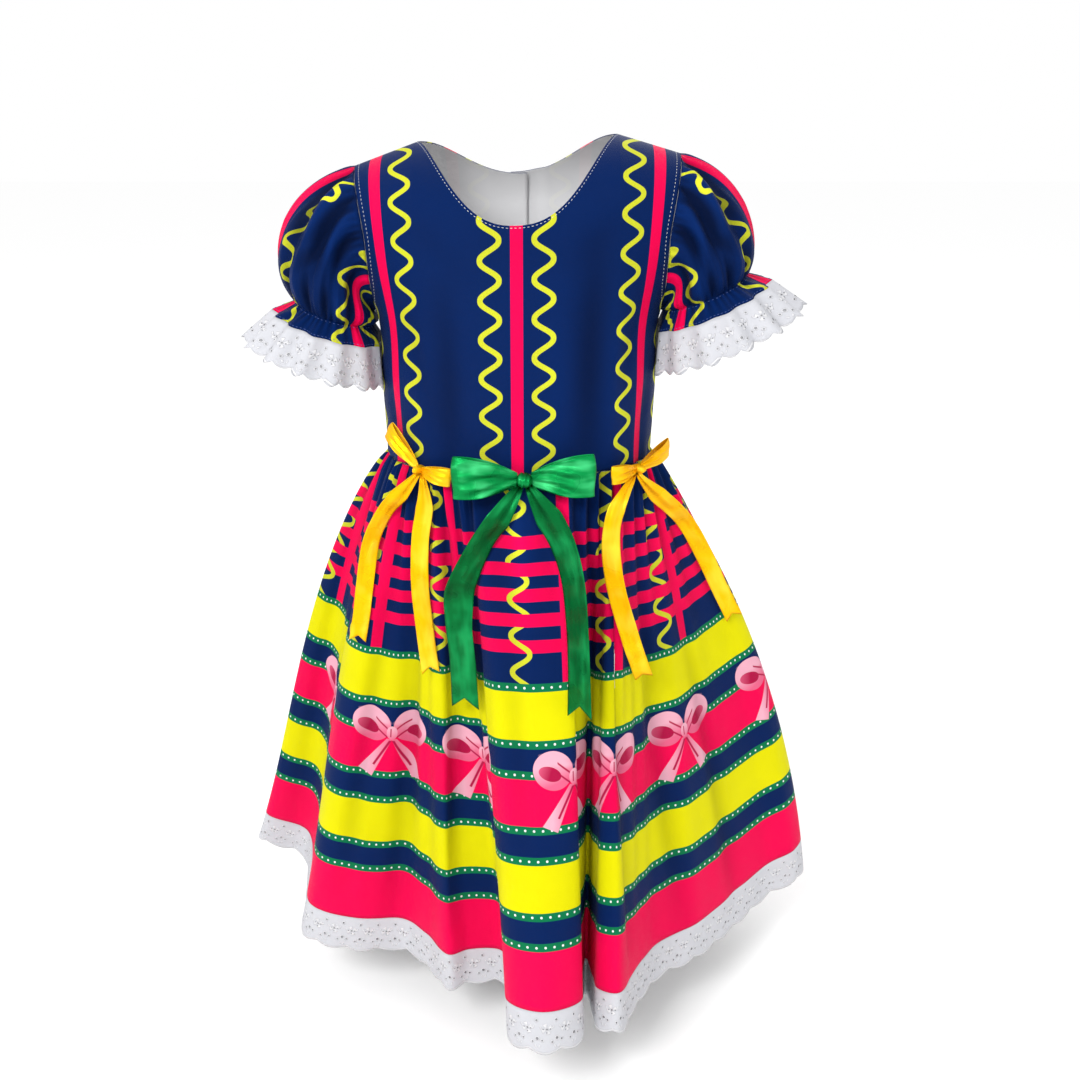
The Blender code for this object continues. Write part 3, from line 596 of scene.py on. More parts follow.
def net_object(name, net, uv, materials, inside, closed=False, thickness=None, shown=1.0, folds=None):
    """Mesh object from a net of points, with the cut as its UV map.

    inside is a point that the faces are turned away from. shown is the share of the cloth
    that the gathers show, and folds the height of the creases, which is painted into the
    colour as shade in their troughs and as light on their ridges.
    """
    rows, columns = net.shape[:2]
    index = np.arange(rows * columns).reshape(rows, columns)
    if closed:
        index = np.concatenate((index, index[:, :1]), axis=1)
    quads = np.stack((index[:-1, :-1], index[:-1, 1:], index[1:, 1:], index[1:, :-1]), axis=-1)
    corners = np.stack((uv[:-1, :-1], uv[:-1, 1:], uv[1:, 1:], uv[1:, :-1]), axis=2)
    if np.sum(net_normals(net, closed) * (net - inside)) <= 0:
        quads = quads[..., ::-1]
        corners = corners[:, :, ::-1]
    mesh = bpy.data.meshes.new(name)
    mesh.from_pydata(net.reshape(-1, 3).tolist(), [], quads.reshape(-1, 4).tolist())
    layer = mesh.uv_layers.new(name="cut")
    layer.data.foreach_set("uv", corners.reshape(-1).astype(np.float32))
    # The folds map carries the shown share and the painted shade and light of the creases
    if folds is not None:
        values = pair(shown, np.clip(-folds / FOLD_SHADE, RIDGE_LIGHT, 1)).reshape(-1, 2)
        layer = mesh.uv_layers.new(name="folds")
        layer.data.foreach_set("uv", values[quads.reshape(-1)].reshape(-1).astype(np.float32))
    for material in materials:
        mesh.materials.append(material)
    mesh.shade_smooth()
    piece = new_object(name, mesh)
    if thickness:
        wall = piece.modifiers.new("Thickness", "SOLIDIFY")
        wall.thickness = thickness
        wall.offset = -1.0
        if len(materials) > 1:
            wall.material_offset = 1
            wall.material_offset_rim = 0
    return piece


# Shader arithmetic

def new_node(tree, kind, inputs, **settings):
    """Node with its inputs, by name or number, given values or linked to sockets and fields."""
    node = tree.nodes.new("ShaderNode" + kind)
    for name, value in settings.items():
        setattr(node, name, value)
    set_inputs(tree, node, inputs)
    return node


def set_inputs(tree, node, inputs):
    for name, value in inputs.items():
        value = value.socket if isinstance(value, Field) else value
        if isinstance(value, bpy.types.NodeSocket):
            tree.links.new(value, node.inputs[name])
        elif isinstance(value, tuple) and len(node.inputs[name].default_value) == 4:
            node.inputs[name].default_value = (*value, 1.0)
        else:
            node.inputs[name].default_value = value


class Field:
    """A number over the surface, worked out by shader nodes."""

    def __init__(self, tree, socket):
        self.tree = tree
        self.socket = socket

    def math(self, kind, *others, clamp=False):
        inputs = dict(enumerate((self,) + others))
        node = new_node(self.tree, "Math", inputs, operation=kind, use_clamp=clamp)
        return Field(self.tree, node.outputs[0])

    def __add__(self, other):
        return self.math("ADD", other)

    def __sub__(self, other):
        return self.math("SUBTRACT", other)

    def __mul__(self, other):
        return self.math("MULTIPLY", other)

    def __truediv__(self, other):
        return self.math("DIVIDE", other)

    def sine(self):
        return self.math("SINE")

    def absolute(self):
        return self.math("ABSOLUTE")

    def larger(self, other):
        return self.math("MAXIMUM", other)

    def length(self, other):
        return (self * self + other * other).math("SQRT")

    def clamped(self):
        return self.math("ADD", 0.0, clamp=True)

    def flip(self):
        """One minus this mask."""
        return self * -1.0 + 1.0

    def repeat(self, period, at=0.0):
        """Signed distance to the nearest repeat."""
        return (self - at).math("WRAP", period / 2, -period / 2)

    def mask(self, half, edge=PRINT_EDGE):
        """One where this lies within half of zero, with a soft edge."""
        return (self.absolute() * (-1.0 / edge)).math("ADD", half / edge + 0.5, clamp=True)

    def above(self, level, edge=PRINT_EDGE):
        return ((self - level) * (1.0 / edge)).math("ADD", 0.5, clamp=True)

    def below(self, level, edge=PRINT_EDGE):
        return self.above(level, edge).flip()

    def ripple(self, period):
        return (self * (2 * math.pi / period)).sine()


def wave_line(across, down, swing=WAVE_SWING, period=WAVE_PERIOD, stroke=WAVE_STROKE):
    """Mask of a wavy line that runs down the cloth."""
    turn = down * (2 * math.pi / period)
    slope = (turn + math.pi / 2).sine() * (swing * 2 * math.pi / period)
    slant = (slope * slope + 1.0).math("SQRT")
    return ((across - turn.sine() * swing) / slant).mask(stroke / 2)


def blend(tree, first, second, share):
    """Colour that goes from the first to the second by a share from 0 to 1."""
    return new_node(tree, "Mix", {0: share, 6: first, 7: second}, data_type="RGBA").outputs[2]


class Painter:
    """Lays colours over each other in a node tree."""

    def __init__(self, tree, ground):
        self.tree = tree
        self.colour = ground

    def lay(self, colour, mask):
        self.colour = blend(self.tree, self.colour, colour, mask)

    def lay_tones(self, first, second, share, mask):
        """Lay a colour that goes from the first to the second."""
        self.lay(blend(self.tree, first, second, share.clamped()), mask)


def map_fields(tree, name):
    """The two numbers of a UV map."""
    place = new_node(tree, "UVMap", {}, uv_map=name)
    split = new_node(tree, "SeparateXYZ", {0: place.outputs[0]})
    return Field(tree, split.outputs[0]), Field(tree, split.outputs[1])


def new_material(name):
    material = bpy.data.materials.new(name)
    material.use_nodes = True
    tree = material.node_tree
    return material, tree, tree.nodes["Principled BSDF"], *map_fields(tree, "cut")


def noise(tree, scale, detail=2.0, over=None):
    """Cloudy variation from 0 to 1, in the object's own space or over two fields."""
    if over:
        place = new_node(tree, "CombineXYZ", {0: over[0], 1: over[1]}).outputs[0]
    else:
        place = new_node(tree, "TexCoord", {}).outputs["Object"]
    cloud = new_node(tree, "TexNoise", {"Scale": scale, "Detail": detail, "Vector": place})
    return Field(tree, cloud.outputs[0])


def bump(tree, height, distance):
    """Normals of a surface that a field raises by up to a distance."""
    return new_node(tree, "Bump", {"Distance": distance, "Strength": 1.0, "Height": height}).outputs[0]


def weave(u, v, pitch):
    """Plain weave, threads over and under each other."""
    return u.ripple(pitch) * v.ripple(pitch)


def slubby_weave(tree, u, v):
    slubs = noise(tree, SLUB_GRAIN, 4.0)
    return bump(tree, weave(u, v, WEAVE_PITCH) * WEAVE_SHARE + slubs, WEAVE_DEPTH)


def tone_and_fold_shade(tree, colour, amount, cloud, folds=None):
    """Brightness varied a little over the cloth, with painted shade in folds and painted light on
    ridges.
    """
    value = cloud * (2 * amount) + (1.0 - amount)
    if folds is not None:
        # Painted shade in the folds and painted light on the ridges
        value = value * (folds * -FOLD_DARKNESS + 1.0)
    return new_node(tree, "HueSaturation", {"Color": colour, "Value": value}).outputs[0]


# Prints

def draw_stripes(tree, near, offset, down):
    """Pink stripes with a wavy line on each side, at an offset from the nearest stripe."""
    paint = Painter(tree, NAVY)
    paint.lay(WAVE_YELLOW, wave_line(near.absolute() - offset, down))
    paint.lay(PINK, near.mask(BODICE_STRIPE / 2))
    return paint.colour


def draw_bodice(tree, u, v):
    offset = u.absolute().above(BODICE_REPEAT) * BODICE_WAVE_OUT + BODICE_WAVE
    return draw_stripes(tree, u.repeat(BODICE_REPEAT), offset, v - BODICE_WAVE_AT)


def draw_sleeve(tree, u, v):
    inner = u.absolute().above(SLEEVE_REPEAT / 2)
    offset = inner * (SLEEVE_INNER_WAVE - SLEEVE_WAVE) + SLEEVE_WAVE
    return draw_stripes(tree, u.repeat(SLEEVE_REPEAT), offset, v)


def oval(x, y, wide, high, edge):
    """Mask of an oval of these radii."""
    return (x / wide).length(y / high).below(1.0, edge)


def lay_motif(paint, u, v, shown):
    """A plain drawn bow of two round loops, a knot and two pointed ends, in sizes of the motif."""
    x = u.repeat(MOTIF_REPEAT, MOTIF_AT) * shown / MOTIF_SIZE
    side = x.absolute()
    y = (v - MOTIF_LEVEL) / MOTIF_SIZE
    edge = PRINT_EDGE / MOTIF_SIZE
    # The two ends hang from the knot and widen to a point
    drop = y - 0.15
    middle = side - drop * 0.62 - 0.06
    short = drop + side * 0.45
    end = middle.absolute() * -1.0 + drop * 0.17 + 0.07
    end = end.above(0.0, edge) * drop.above(0.0, edge) * short.below(1.35, edge)
    paint.lay_tones(MID_PINK, PALE_PINK, drop * 1.1 + middle * 2.0, end)
    crease = (middle + drop * 0.05 + 0.05).mask(0.035, edge * 3)
    paint.lay(DEEP_PINK, crease * drop.above(0.05, edge) * short.below(1.0, edge))
    # The loops are ovals that lean up and out from the knot
    lean_x = (side - 0.55) * 0.94 - (y + 0.22) * 0.34
    lean_y = (side - 0.55) * 0.34 + (y + 0.22) * 0.94
    loop = oval(lean_x, lean_y, 0.52, 0.47, edge * 2)
    paint.lay_tones(PALE_PINK, MID_PINK, lean_y * 1.6 - lean_x * 1.2 + 0.35, loop)
    paint.lay(PALE_PINK, oval(lean_x, lean_y + 0.24, 0.40, 0.10, 0.5))
    hollow = oval(lean_x - 0.06, lean_y - 0.10, 0.30, 0.17, edge * 3)
    paint.lay_tones(DEEP_PINK, MID_PINK, lean_x * 2.2 - 0.1, hollow)
    for lift in (0.02, 0.22):
        fold = (lean_y + lean_x * 0.35 + lift).mask(0.022, edge * 3)
        paint.lay(DEEP_PINK, fold * side.above(0.12, edge) * side.below(0.44, edge))
    paint.lay_tones(PALE_PINK, MID_PINK, y * 3.0 + 0.4, oval(x, y + 0.02, 0.14, 0.19, edge * 2))
    paint.lay(DEEP_PINK, (x + 0.03).mask(0.015, edge * 2) * (y + 0.02).mask(0.12, edge))


def draw_skirt(tree, u, v):
    paint = Painter(tree, NAVY)
    # The gathers hide cloth between the lines, so near the waist the lines stand closer
    shown = map_fields(tree, "folds")[0]
    near = u.repeat(SKIRT_REPEAT, SKIRT_STRIPE_AT)
    above_bands = v.below(RIBBONS[0])
    wave = wave_line((near.absolute() - SKIRT_WAVE) * shown, v) * above_bands
    wave = wave * (near.above(0.0) * shown.below(WAVE_HIDDEN)).flip()
    for level in BARS:
        bar = (v - level).mask(BAR_HEIGHT / 2)
        paint.lay(PINK, bar)
        if level not in CROSSED_BARS:
            wave = wave * bar.flip()
    paint.lay(WAVE_YELLOW, wave)
    paint.lay(PINK, (near * shown).mask(SKIRT_STRIPE / 2) * above_bands)
    for level, colour in zip(RIBBONS, BANDS):
        below = v - level
        paint.lay(colour, below.above(0.0))
        paint.lay(RIBBON_GREEN, below.mask(RIBBON_PRINT / 2))
        paint.lay(WHITE, u.repeat(DOT_PERIOD, level).length(below).mask(DOT_RADIUS))
    lay_motif(paint, u, v, shown)
    return paint.colour


# Materials

def cloth_materials(name, draw):
    """Printed side and pale reverse of one cloth, through which the print shows faintly."""
    material, tree, shader, u, v = new_material(name)
    cloud = noise(tree, CLOTH_CLOUD)
    # The base colour takes the painted shade and light of the creases from the folds map
    set_inputs(tree, shader, {
        "Base Color": tone_and_fold_shade(tree, draw(tree, u, v), 0.06, cloud, map_fields(tree, "folds")[1]),
        "Roughness": cloud * 0.16 + 0.42,
        "Specular IOR Level": 0.04,
        "Sheen Weight": 0.015,
        "Sheen Roughness": 0.4,
        "Normal": slubby_weave(tree, u, v),
    })
    reverse, tree, shader, u, v = new_material(name + "_reverse")
    ghost = blend(tree, WHITE, draw(tree, u, v), PRINT_THROUGH)
    set_inputs(tree, shader, {
        "Base Color": tone_and_fold_shade(tree, ghost, 0.03, noise(tree, 60.0)),
        "Roughness": 0.7,
        "Normal": slubby_weave(tree, u, v),
    })
    return [material, reverse]


def lace_materials(name, length, scallops):
    """White cotton with small worked eyelet flowers, dots and a stitched scallop edge."""
    material, tree, shader, u, v = new_material(name)
    period = length / round(length / LACE_REPEAT)
    # A flower is four petals round an eye. It alternates with a plain round eyelet.
    x = u.repeat(period)
    y = v - SKIRT_LACE * FLOWER_LEVEL
    reach = x.length(y)
    petals = (reach - PETAL).mask(PETAL_HALF, LACE_EDGE)
    petals = petals * (x.math("ARCTAN2", y) * 4.0).sine().above(-0.2, 0.6)
    holes = reach.mask(FLOWER_EYE, HOLE_EDGE)
    raised = petals.larger(reach.mask(FLOWER_RIM, 0.0003))
    for dx, dy in ((0.0, PETAL), (PETAL, 0.0), (-PETAL, 0.0)):
        holes = holes.larger((x - dx).length(y - dy).mask(PETAL_EYE, HOLE_EDGE))
    for at, level, size in LACE_EYES:
        eye = u.repeat(period, period * at).length(v - SKIRT_LACE * level)
        holes = holes.larger(eye.mask(size, HOLE_EDGE))
        raised = raised.larger(eye.mask(size + EYE_RIM, LACE_EDGE))
    for at, level, lean in LACE_SPRIGS:
        x = u.repeat(period, period * at)
        y = v - SKIRT_LACE * level
        leaf = (x + y * lean).length((y - x * lean) * 0.45)
        raised = raised.larger(leaf.mask(LEAF, LACE_EDGE))
    scallop = u.ripple(2 * length / scallops).absolute()
    edge = v - SKIRT_LACE - scallop * SCALLOP + SCALLOP
    raised = raised.larger((edge + 0.0010).mask(0.0011, LACE_EDGE))
    shade = Painter(tree, LACE_GROUND)
    shade.lay(LACE_THREAD, raised)
    # Painted shade inside the eyelet holes
    shade.lay(EYELET_SHADE, holes)
    thread = u.ripple(0.0007) * raised * 0.15 + weave(u, v, 0.0008) * 0.08
    set_inputs(tree, shader, {
        "Base Color": tone_and_fold_shade(tree, shade.colour, 0.05, noise(tree, 70.0)),
        "Alpha": holes * -0.55 + 1.0,
        "Roughness": 0.7,
        "Specular IOR Level": 0.2,
        "Normal": bump(tree, raised + thread, LACE_DEPTH),
    })
    return [material]


def satin_material(name, bright, middle, deep):
    """Glossy crinkled ribbon: painted highlights streak along it, painted shade where it faces aside."""
    material, tree, shader, u, v = new_material(name)
    streak = noise(tree, 1.0, over=(u * SATIN_STREAKS[0], v * SATIN_STREAKS[1]))
    crinkle = noise(tree, SATIN_CRINKLES, 1.5)
    height = streak * 0.7 + crinkle * 0.8 + v.ripple(SATIN_THREAD) * 0.015
    normal = bump(tree, height, SATIN_DEPTH)
    facing = new_node(tree, "VectorMath", {0: normal, 1: SATIN_FRONT}, operation="DOT_PRODUCT")
    turned = Field(tree, facing.outputs["Value"]).absolute().flip()
    paint = Painter(tree, middle)
    # Painted shade where the streaks and crinkles are low and where the ribbon turns aside
    paint.lay(deep, (streak * -2.0 + crinkle * -2.0 + 1.70 + turned * 1.3).clamped())
    # Painted highlights where the streaks and crinkles are high and the ribbon faces the front
    paint.lay(bright, (streak * 3.0 + crinkle * 3.0 - 2.80 - turned * 0.9).clamped())
    set_inputs(tree, shader, {
        "Base Color": paint.colour,
        "Roughness": crinkle * 0.12 + 0.22,
        "Metallic": 0.45,
        "Specular IOR Level": 0.22,
        "Specular Tint": tuple(0.3 + 0.7 * c / max(bright) for c in bright),
        "Anisotropic": 0.5,
        "Normal": normal,
    })
    return material


def grainy_material(name, dark, light, grain, inputs):
    """Plain material whose colour varies in small grains."""
    material, tree, shader, _, _ = new_material(name)
    set_inputs(tree, shader, {"Base Color": blend(tree, dark, light, noise(tree, grain)), **inputs})
    return material


def thread_material(name, colour):
    dark = tuple(0.8 * c for c in colour)
    return grainy_material(name, dark, colour, 900.0, {"Roughness": 0.6})


# Bodice

TORSO_TABLE = np.array(TORSO)
TORSO_SLOPES = [np.gradient(TORSO_TABLE[:, k], TORSO_TABLE[:, 0]) for k in (1, 2, 3)]


def torso(z):
    """Half width and the two depths of the torso at heights."""
    return [hermite(TORSO_TABLE[:, 0], TORSO_TABLE[:, k], TORSO_SLOPES[k - 1], z) for k in (1, 2, 3)]


# Half width of the waist and its depths in front and behind
WAIST_HALF, WAIST_FRONT, WAIST_REAR = (float(size) for size in torso(WAIST_Z))


def shoulder_height(x):
    return SHOULDER_LEAN * x - SHOULDER_SLOPE * np.maximum(0.0, np.abs(x) - NECK_HALF_WIDTH)


def shoulder_turn(drop):
    return np.minimum(drop / SHOULDER_ROUND, math.pi / 2)


def fall(drop):
    """Height lost by following the cloth down over the round of the shoulder."""
    bent = SHOULDER_ROUND * (1 - np.cos(shoulder_turn(drop)))
    return np.where(drop < SHOULDER_QUARTER, bent, SHOULDER_ROUND + drop - SHOULDER_QUARTER)


def drop_for(height):
    """Length of cloth from the shoulder line that loses this height."""
    bent = SHOULDER_ROUND * np.arccos(1 - np.clip(height, 0, SHOULDER_ROUND) / SHOULDER_ROUND)
    return np.where(height < SHOULDER_ROUND, bent, height - SHOULDER_ROUND + SHOULDER_QUARTER)


def bodice_point(angle, drop, back):
    """Outer points: angle from the centre, drop of cloth from the shoulder line."""
    z = -fall(drop)
    for _ in range(8):
        half, front, rear = torso(z)
        x = half * np.sin(angle)
        z = shoulder_height(x) - fall(drop)
    depth = (rear if back else -front) * np.sin(shoulder_turn(drop))
    return np.stack((x, depth * np.cos(angle), z), axis=-1)


def bodice_normal(angle, drop, back):
    across = bodice_point(angle + 0.01, drop, back) - bodice_point(angle - 0.01, drop, back)
    down = bodice_point(angle, drop + 0.0005, back) - bodice_point(angle, drop - 0.0005, back)
    normal = unit(np.cross(across, down))
    outward = np.sum(normal * (bodice_point(angle, drop, back) - CHEST_MIDDLE), axis=-1, keepdims=True)
    return normal * np.sign(outward)


def bodice_surface(angle, drop, back):
    return bodice_point(angle, drop, back), bodice_normal(angle, drop, back)


def arc_across(angle, drop, back):
    """Cloth across the bodice from the centre line, along its level section."""
    z = bodice_point(angle, drop, back)[..., 2]
    half, front, rear = torso(z)
    depth = (rear if back else front) * np.sin(shoulder_turn(drop))
    turns = angle[..., None] * (np.arange(24) + 0.5) / 24
    speed = np.hypot(half[..., None] * np.cos(turns), depth[..., None] * np.sin(turns))
    return speed.mean(axis=-1) * angle


def print_drop(drop):
    """Drop that the print follows: it is drawn out over the round of the shoulder."""
    lean = math.radians(PRINT_LEAN)
    bent = SHOULDER_ROUND * (math.cos(lean) - np.cos(lean + shoulder_turn(drop))) / math.cos(lean)
    return bent + np.maximum(drop - SHOULDER_QUARTER, 0.0)


def angle_at(x, drop):
    z = shoulder_height(x) - fall(drop)
    return np.arcsin(np.clip(x / torso(z)[0], -1, 1))


def armhole_edge(back, sign, count=60):
    """Angle and drop pairs from the underarm up to the shoulder tip, and shares of the way."""
    deepest = float(drop_for(shoulder_height(sign * torso(UNDERARM_Z)[0]) - UNDERARM_Z))
    top = float(angle_at(sign * SHOULDER_TIP, 0.0))
    drops = deepest * (1 - np.linspace(0, 1, count) ** ARMHOLE_SPACING)
    angles = top + (sign * math.pi / 2 - top) * (drops / deepest) ** ARMHOLE_CURVE
    travel = travelled(bodice_point(angles, drops, back))
    return pair(angles, drops), travel / travel[-1]


def neck_edge(x, back):
    neck_drop = float(drop_for(-(BACK_NECK_Z if back else FRONT_NECK_Z)))
    return np.maximum(neck_drop * (1 - (np.abs(x) / NECK_HALF_WIDTH) ** NECK_CURVE), RIDGE_SEAM / 2)


def half_panel(back, sign, lap=0.0):
    """Angle and drop of each point of a half bodice, rows from the waist up."""
    side_angle = math.pi / 2 - SEAM / 2 / (WAIST_REAR if back else WAIST_FRONT)
    pairs, travel = armhole_edge(back, sign)
    u = np.linspace(0, 1, BODICE_COLUMNS + 1)
    v = 1 - (1 - np.linspace(0, 1, BODICE_ROWS + 1)) ** ROW_SPACING

    angle = sign * (u * side_angle - (1 - u) * lap / WAIST_HALF)
    low = pair(angle, drop_for(shoulder_height(WAIST_HALF * np.sin(angle)) - WAIST_Z))

    neck = np.minimum(u / NECK_SHARE, 1)
    x = NECK_HALF_WIDTH * np.sin(neck * math.pi / 2)
    drop = neck_edge(x, back)
    x = x - lap * (1 - neck)
    shoulder = np.clip((u - NECK_SHARE) / (1 - NECK_SHARE), 0, 1)
    x = np.where(u > NECK_SHARE, NECK_HALF_WIDTH + shoulder * (SHOULDER_TIP - NECK_HALF_WIDTH), x)
    drop = np.where(u > NECK_SHARE, RIDGE_SEAM / 2, drop)
    high = pair(angle_at(sign * x, drop), drop)

    centre = low[0] + (high[0] - low[0]) * v[:, None]
    climb = np.minimum(v / ARMHOLE_SHARE, 1)[:, None]
    share = np.clip((v - ARMHOLE_SHARE) / (1 - ARMHOLE_SHARE), 0, 1)
    hole = table_at(pairs, travel, share)
    side = np.where(v[:, None] <= ARMHOLE_SHARE, low[-1] + (pairs[0] - low[-1]) * climb, hole)
    side[:, 0] = sign * np.minimum(sign * side[:, 0], side_angle)
    side[:, 1] = np.maximum(side[:, 1], RIDGE_SEAM / 2)

    u = u[None, :, None]
    v = v[:, None, None]
    across = (1 - v) * low + v * high
    upward = (1 - u) * centre[:, None] + u * side[:, None]
    corners = (1 - u) * (1 - v) * low[0] + u * (1 - v) * low[-1]
    corners = corners + (1 - u) * v * high[0] + u * v * side[-1]
    return across + upward - corners


def lap_lift(x):
    """Height that the left back half gains to lap over the right one."""
    return LAP_LIFT * ease(np.clip((BACK_LAP / 2 + LAP_FLAT + LAP_RAMP - x) / LAP_RAMP, 0, 1))


# Creases: name, start and end across and down the cloth, width, height
BODICE_FRONT_CREASES = (
    ("right long fold", -0.058, 0.140, -0.054, 0.285, 0.012, -0.0030),
    ("long soft fold", 0.062, 0.110, 0.058, 0.285, 0.014, -0.0038),
    ("ridge beside it", 0.082, 0.140, 0.076, 0.280, 0.010, 0.0016),
    ("soft middle fold", 0.030, 0.130, 0.034, 0.280, 0.012, 0.0012),
    ("right pull", -0.095, 0.150, -0.070, 0.235, 0.008, -0.0012),
    ("left pull", 0.105, 0.150, 0.085, 0.225, 0.008, -0.0012),
    ("right side tuck", -0.120, 0.210, -0.105, 0.280, 0.007, -0.0016),
    ("left side tuck", 0.125, 0.200, 0.110, 0.280, 0.007, -0.0016),
    ("under the neck", -0.030, 0.105, 0.030, 0.108, 0.014, -0.0006),
    ("right chest", -0.080, 0.090, -0.040, 0.125, 0.012, -0.0008),
    ("left chest", 0.085, 0.085, 0.045, 0.120, 0.012, -0.0008),
)
BODICE_BACK_CREASES = (
    ("blade pull", 0.085, 0.120, 0.060, 0.200, 0.010, -0.0014),
    ("side tuck", 0.120, 0.200, 0.105, 0.280, 0.007, -0.0016),
    ("long soft fold", 0.045, 0.130, 0.040, 0.275, 0.011, -0.0012),
)


def make_bodice(materials):
    for node, back, sign, lap in (("bodice_front", False, 1, 0.0),
                                  ("bodice_back_right", True, -1, BACK_LAP / 2),
                                  ("bodice_back_left", True, 1, BACK_LAP / 2)):
        net = half_panel(back, sign, lap)
        if not back:
            net = np.concatenate((half_panel(back, -1)[:, :0:-1], net), axis=1)
        angle, drop = net[..., 0], net[..., 1]
        points, normals = bodice_surface(angle, drop, back)
        across = arc_across(angle, drop, back)
        creases = BODICE_BACK_CREASES if back else BODICE_FRONT_CREASES
        height = crease_field(across * (sign if back else 1), drop, creases)
        # Small tucks over the gathered waist seam
        near_waist = np.exp(-((drop[0] - drop) / TUCK_FADE) ** 2)
        phase = across * TUCK_WAVES[0] + 2 * np.sin(across * TUCK_WAVES[1])
        tucks = TUCK_HEIGHT * np.sin(phase) * near_waist
        # The outer rows and columns stay quiet, because they lie in their seams
        rows, columns = (np.arange(count) for count in drop.shape)
        quiet = np.minimum(np.minimum(columns, columns[::-1]) / 5, 1)
        quiet = quiet * np.minimum(rows[::-1] / 6, 1)[:, None]
        if node == "bodice_back_left":
            points = points + normals * lap_lift(points[..., :1])
        points = points + normals * ((height + tucks) * quiet)[..., None]
        offset = BODICE_REPEAT / 2 if back else 0.0
        # The cloth is cut with its threads upright, so the shoulder seam slopes across them
        slope = SHOULDER_SLOPE * np.maximum(0.0, np.abs(points[..., 0]) - NECK_HALF_WIDTH)
        uv = pair(across + offset, print_drop(drop) + slope)
        # The crease heights also go to the colour as painted shade in troughs and painted light on
        # ridges
        piece = net_object(node + "_cloth", points, uv, materials, CHEST_MIDDLE,
                           thickness=CLOTH, folds=height * BODICE_SHADE)
        dress(piece, [node])


# Sleeves

def armhole_loop(sign, count=240):
    """Closed armhole edge from the tip round the front, with its outward rim."""
    front, _ = armhole_edge(False, sign)
    rear, _ = armhole_edge(True, sign)
    halves = []
    for pairs, back in ((front[::-1], False), (rear[1:-1], True)):
        drop = np.maximum(pairs[:, 1], RIDGE_SEAM / 2)
        halves.append(np.concatenate(bodice_surface(pairs[:, 0], drop, back), axis=1))
    line = np.concatenate(halves)
    table = along(closed_line(line), np.arange(count) / count, axes=3)
    loop, faces = table[:, :3], table[:, 3:]
    out = unit(np.cross(np.roll(loop, -2, axis=0) - np.roll(loop, 2, axis=0), faces))
    out = out * np.sign(out[0, 0] * sign)
    return closed_line(loop), closed_line(out)


def clear_of_torso(points, sign, margin):
    """Move sleeve points outward until they are clear of the bodice's side."""
    x, y, z = points[..., 0], points[..., 1], points[..., 2]
    half, front, rear = torso(np.maximum(z, WAIST_Z))
    inside = 1 - (y / (np.where(y < 0, front, rear) + margin)) ** 2
    limit = (half + margin) * np.sqrt(np.maximum(inside, 0))
    moved = sign * np.maximum(sign * x, limit)
    free = (inside <= 0) | (z > UNDERARM_Z + CLEAR_ABOVE)
    return np.stack((np.where(free, x, moved), y, z), axis=-1)


def sleeve_frame(size):
    tilt = math.radians(size["tilt"])
    sign = size["sign"]
    centre = np.array((sign * size["x"], 0.0, size["z"]))
    outer = np.array((sign * math.cos(tilt), 0.0, math.sin(tilt)))
    down = np.array((sign * math.sin(tilt), 0.0, -math.cos(tilt)))
    return centre, outer, down


def pleats(turn, travel):
    """Small pleats that the elastic draws up, one at their highest."""
    return np.sin(43 * turn + 2.0 * np.sin(5 * turn)) * np.exp(-travel / PLEAT_FADE)


def cuff_points(size, turn, travel):
    """Points below the elastic, travel metres along the frill and lace."""
    centre, outer, down = sleeve_frame(size)
    cosine = np.cos(turn)[..., None]
    sine = np.sin(turn)[..., None]
    radial = unit(outer * cosine + FORWARD * sine)
    ring = centre + outer * size["across"] * cosine + FORWARD * size["deep"] * sine
    first = math.radians(FRILL_FLARE)
    second = math.radians(LACE_FLARE)
    frill = np.minimum(travel, FRILL)[..., None]
    lace = np.maximum(travel - FRILL, 0.0)[..., None]
    points = ring + frill * (radial * math.sin(first) + down * math.cos(first))
    points = points + lace * (radial * math.sin(second) + down * math.cos(second))
    wave = FRILL_WAVE + (LACE_WAVE - FRILL_WAVE) * travel / (FRILL + SLEEVE_LACE)
    wave = wave * np.sin(SLEEVE_WAVES * turn) * np.minimum(1.0, travel / FRILL + WAVE_AT_ELASTIC)
    # The flutes fall unevenly, and are flatter beside the body
    sway = SLEEVE_SWAY * np.sin(3 * turn + 1.0) * travel / (FRILL + SLEEVE_LACE)
    outward = np.where(np.cos(turn) < 0, 0.5 + 0.5 * np.cos(turn), 1.0)
    swing = wave * (WAVE_AT_BODY + (1 - WAVE_AT_BODY) * outward) + sway * outward
    swing = swing + PLEAT_HEIGHT * pleats(turn, travel)
    return clear_of_torso(points + radial * swing[..., None], size["sign"], SLEEVE_CLEAR)


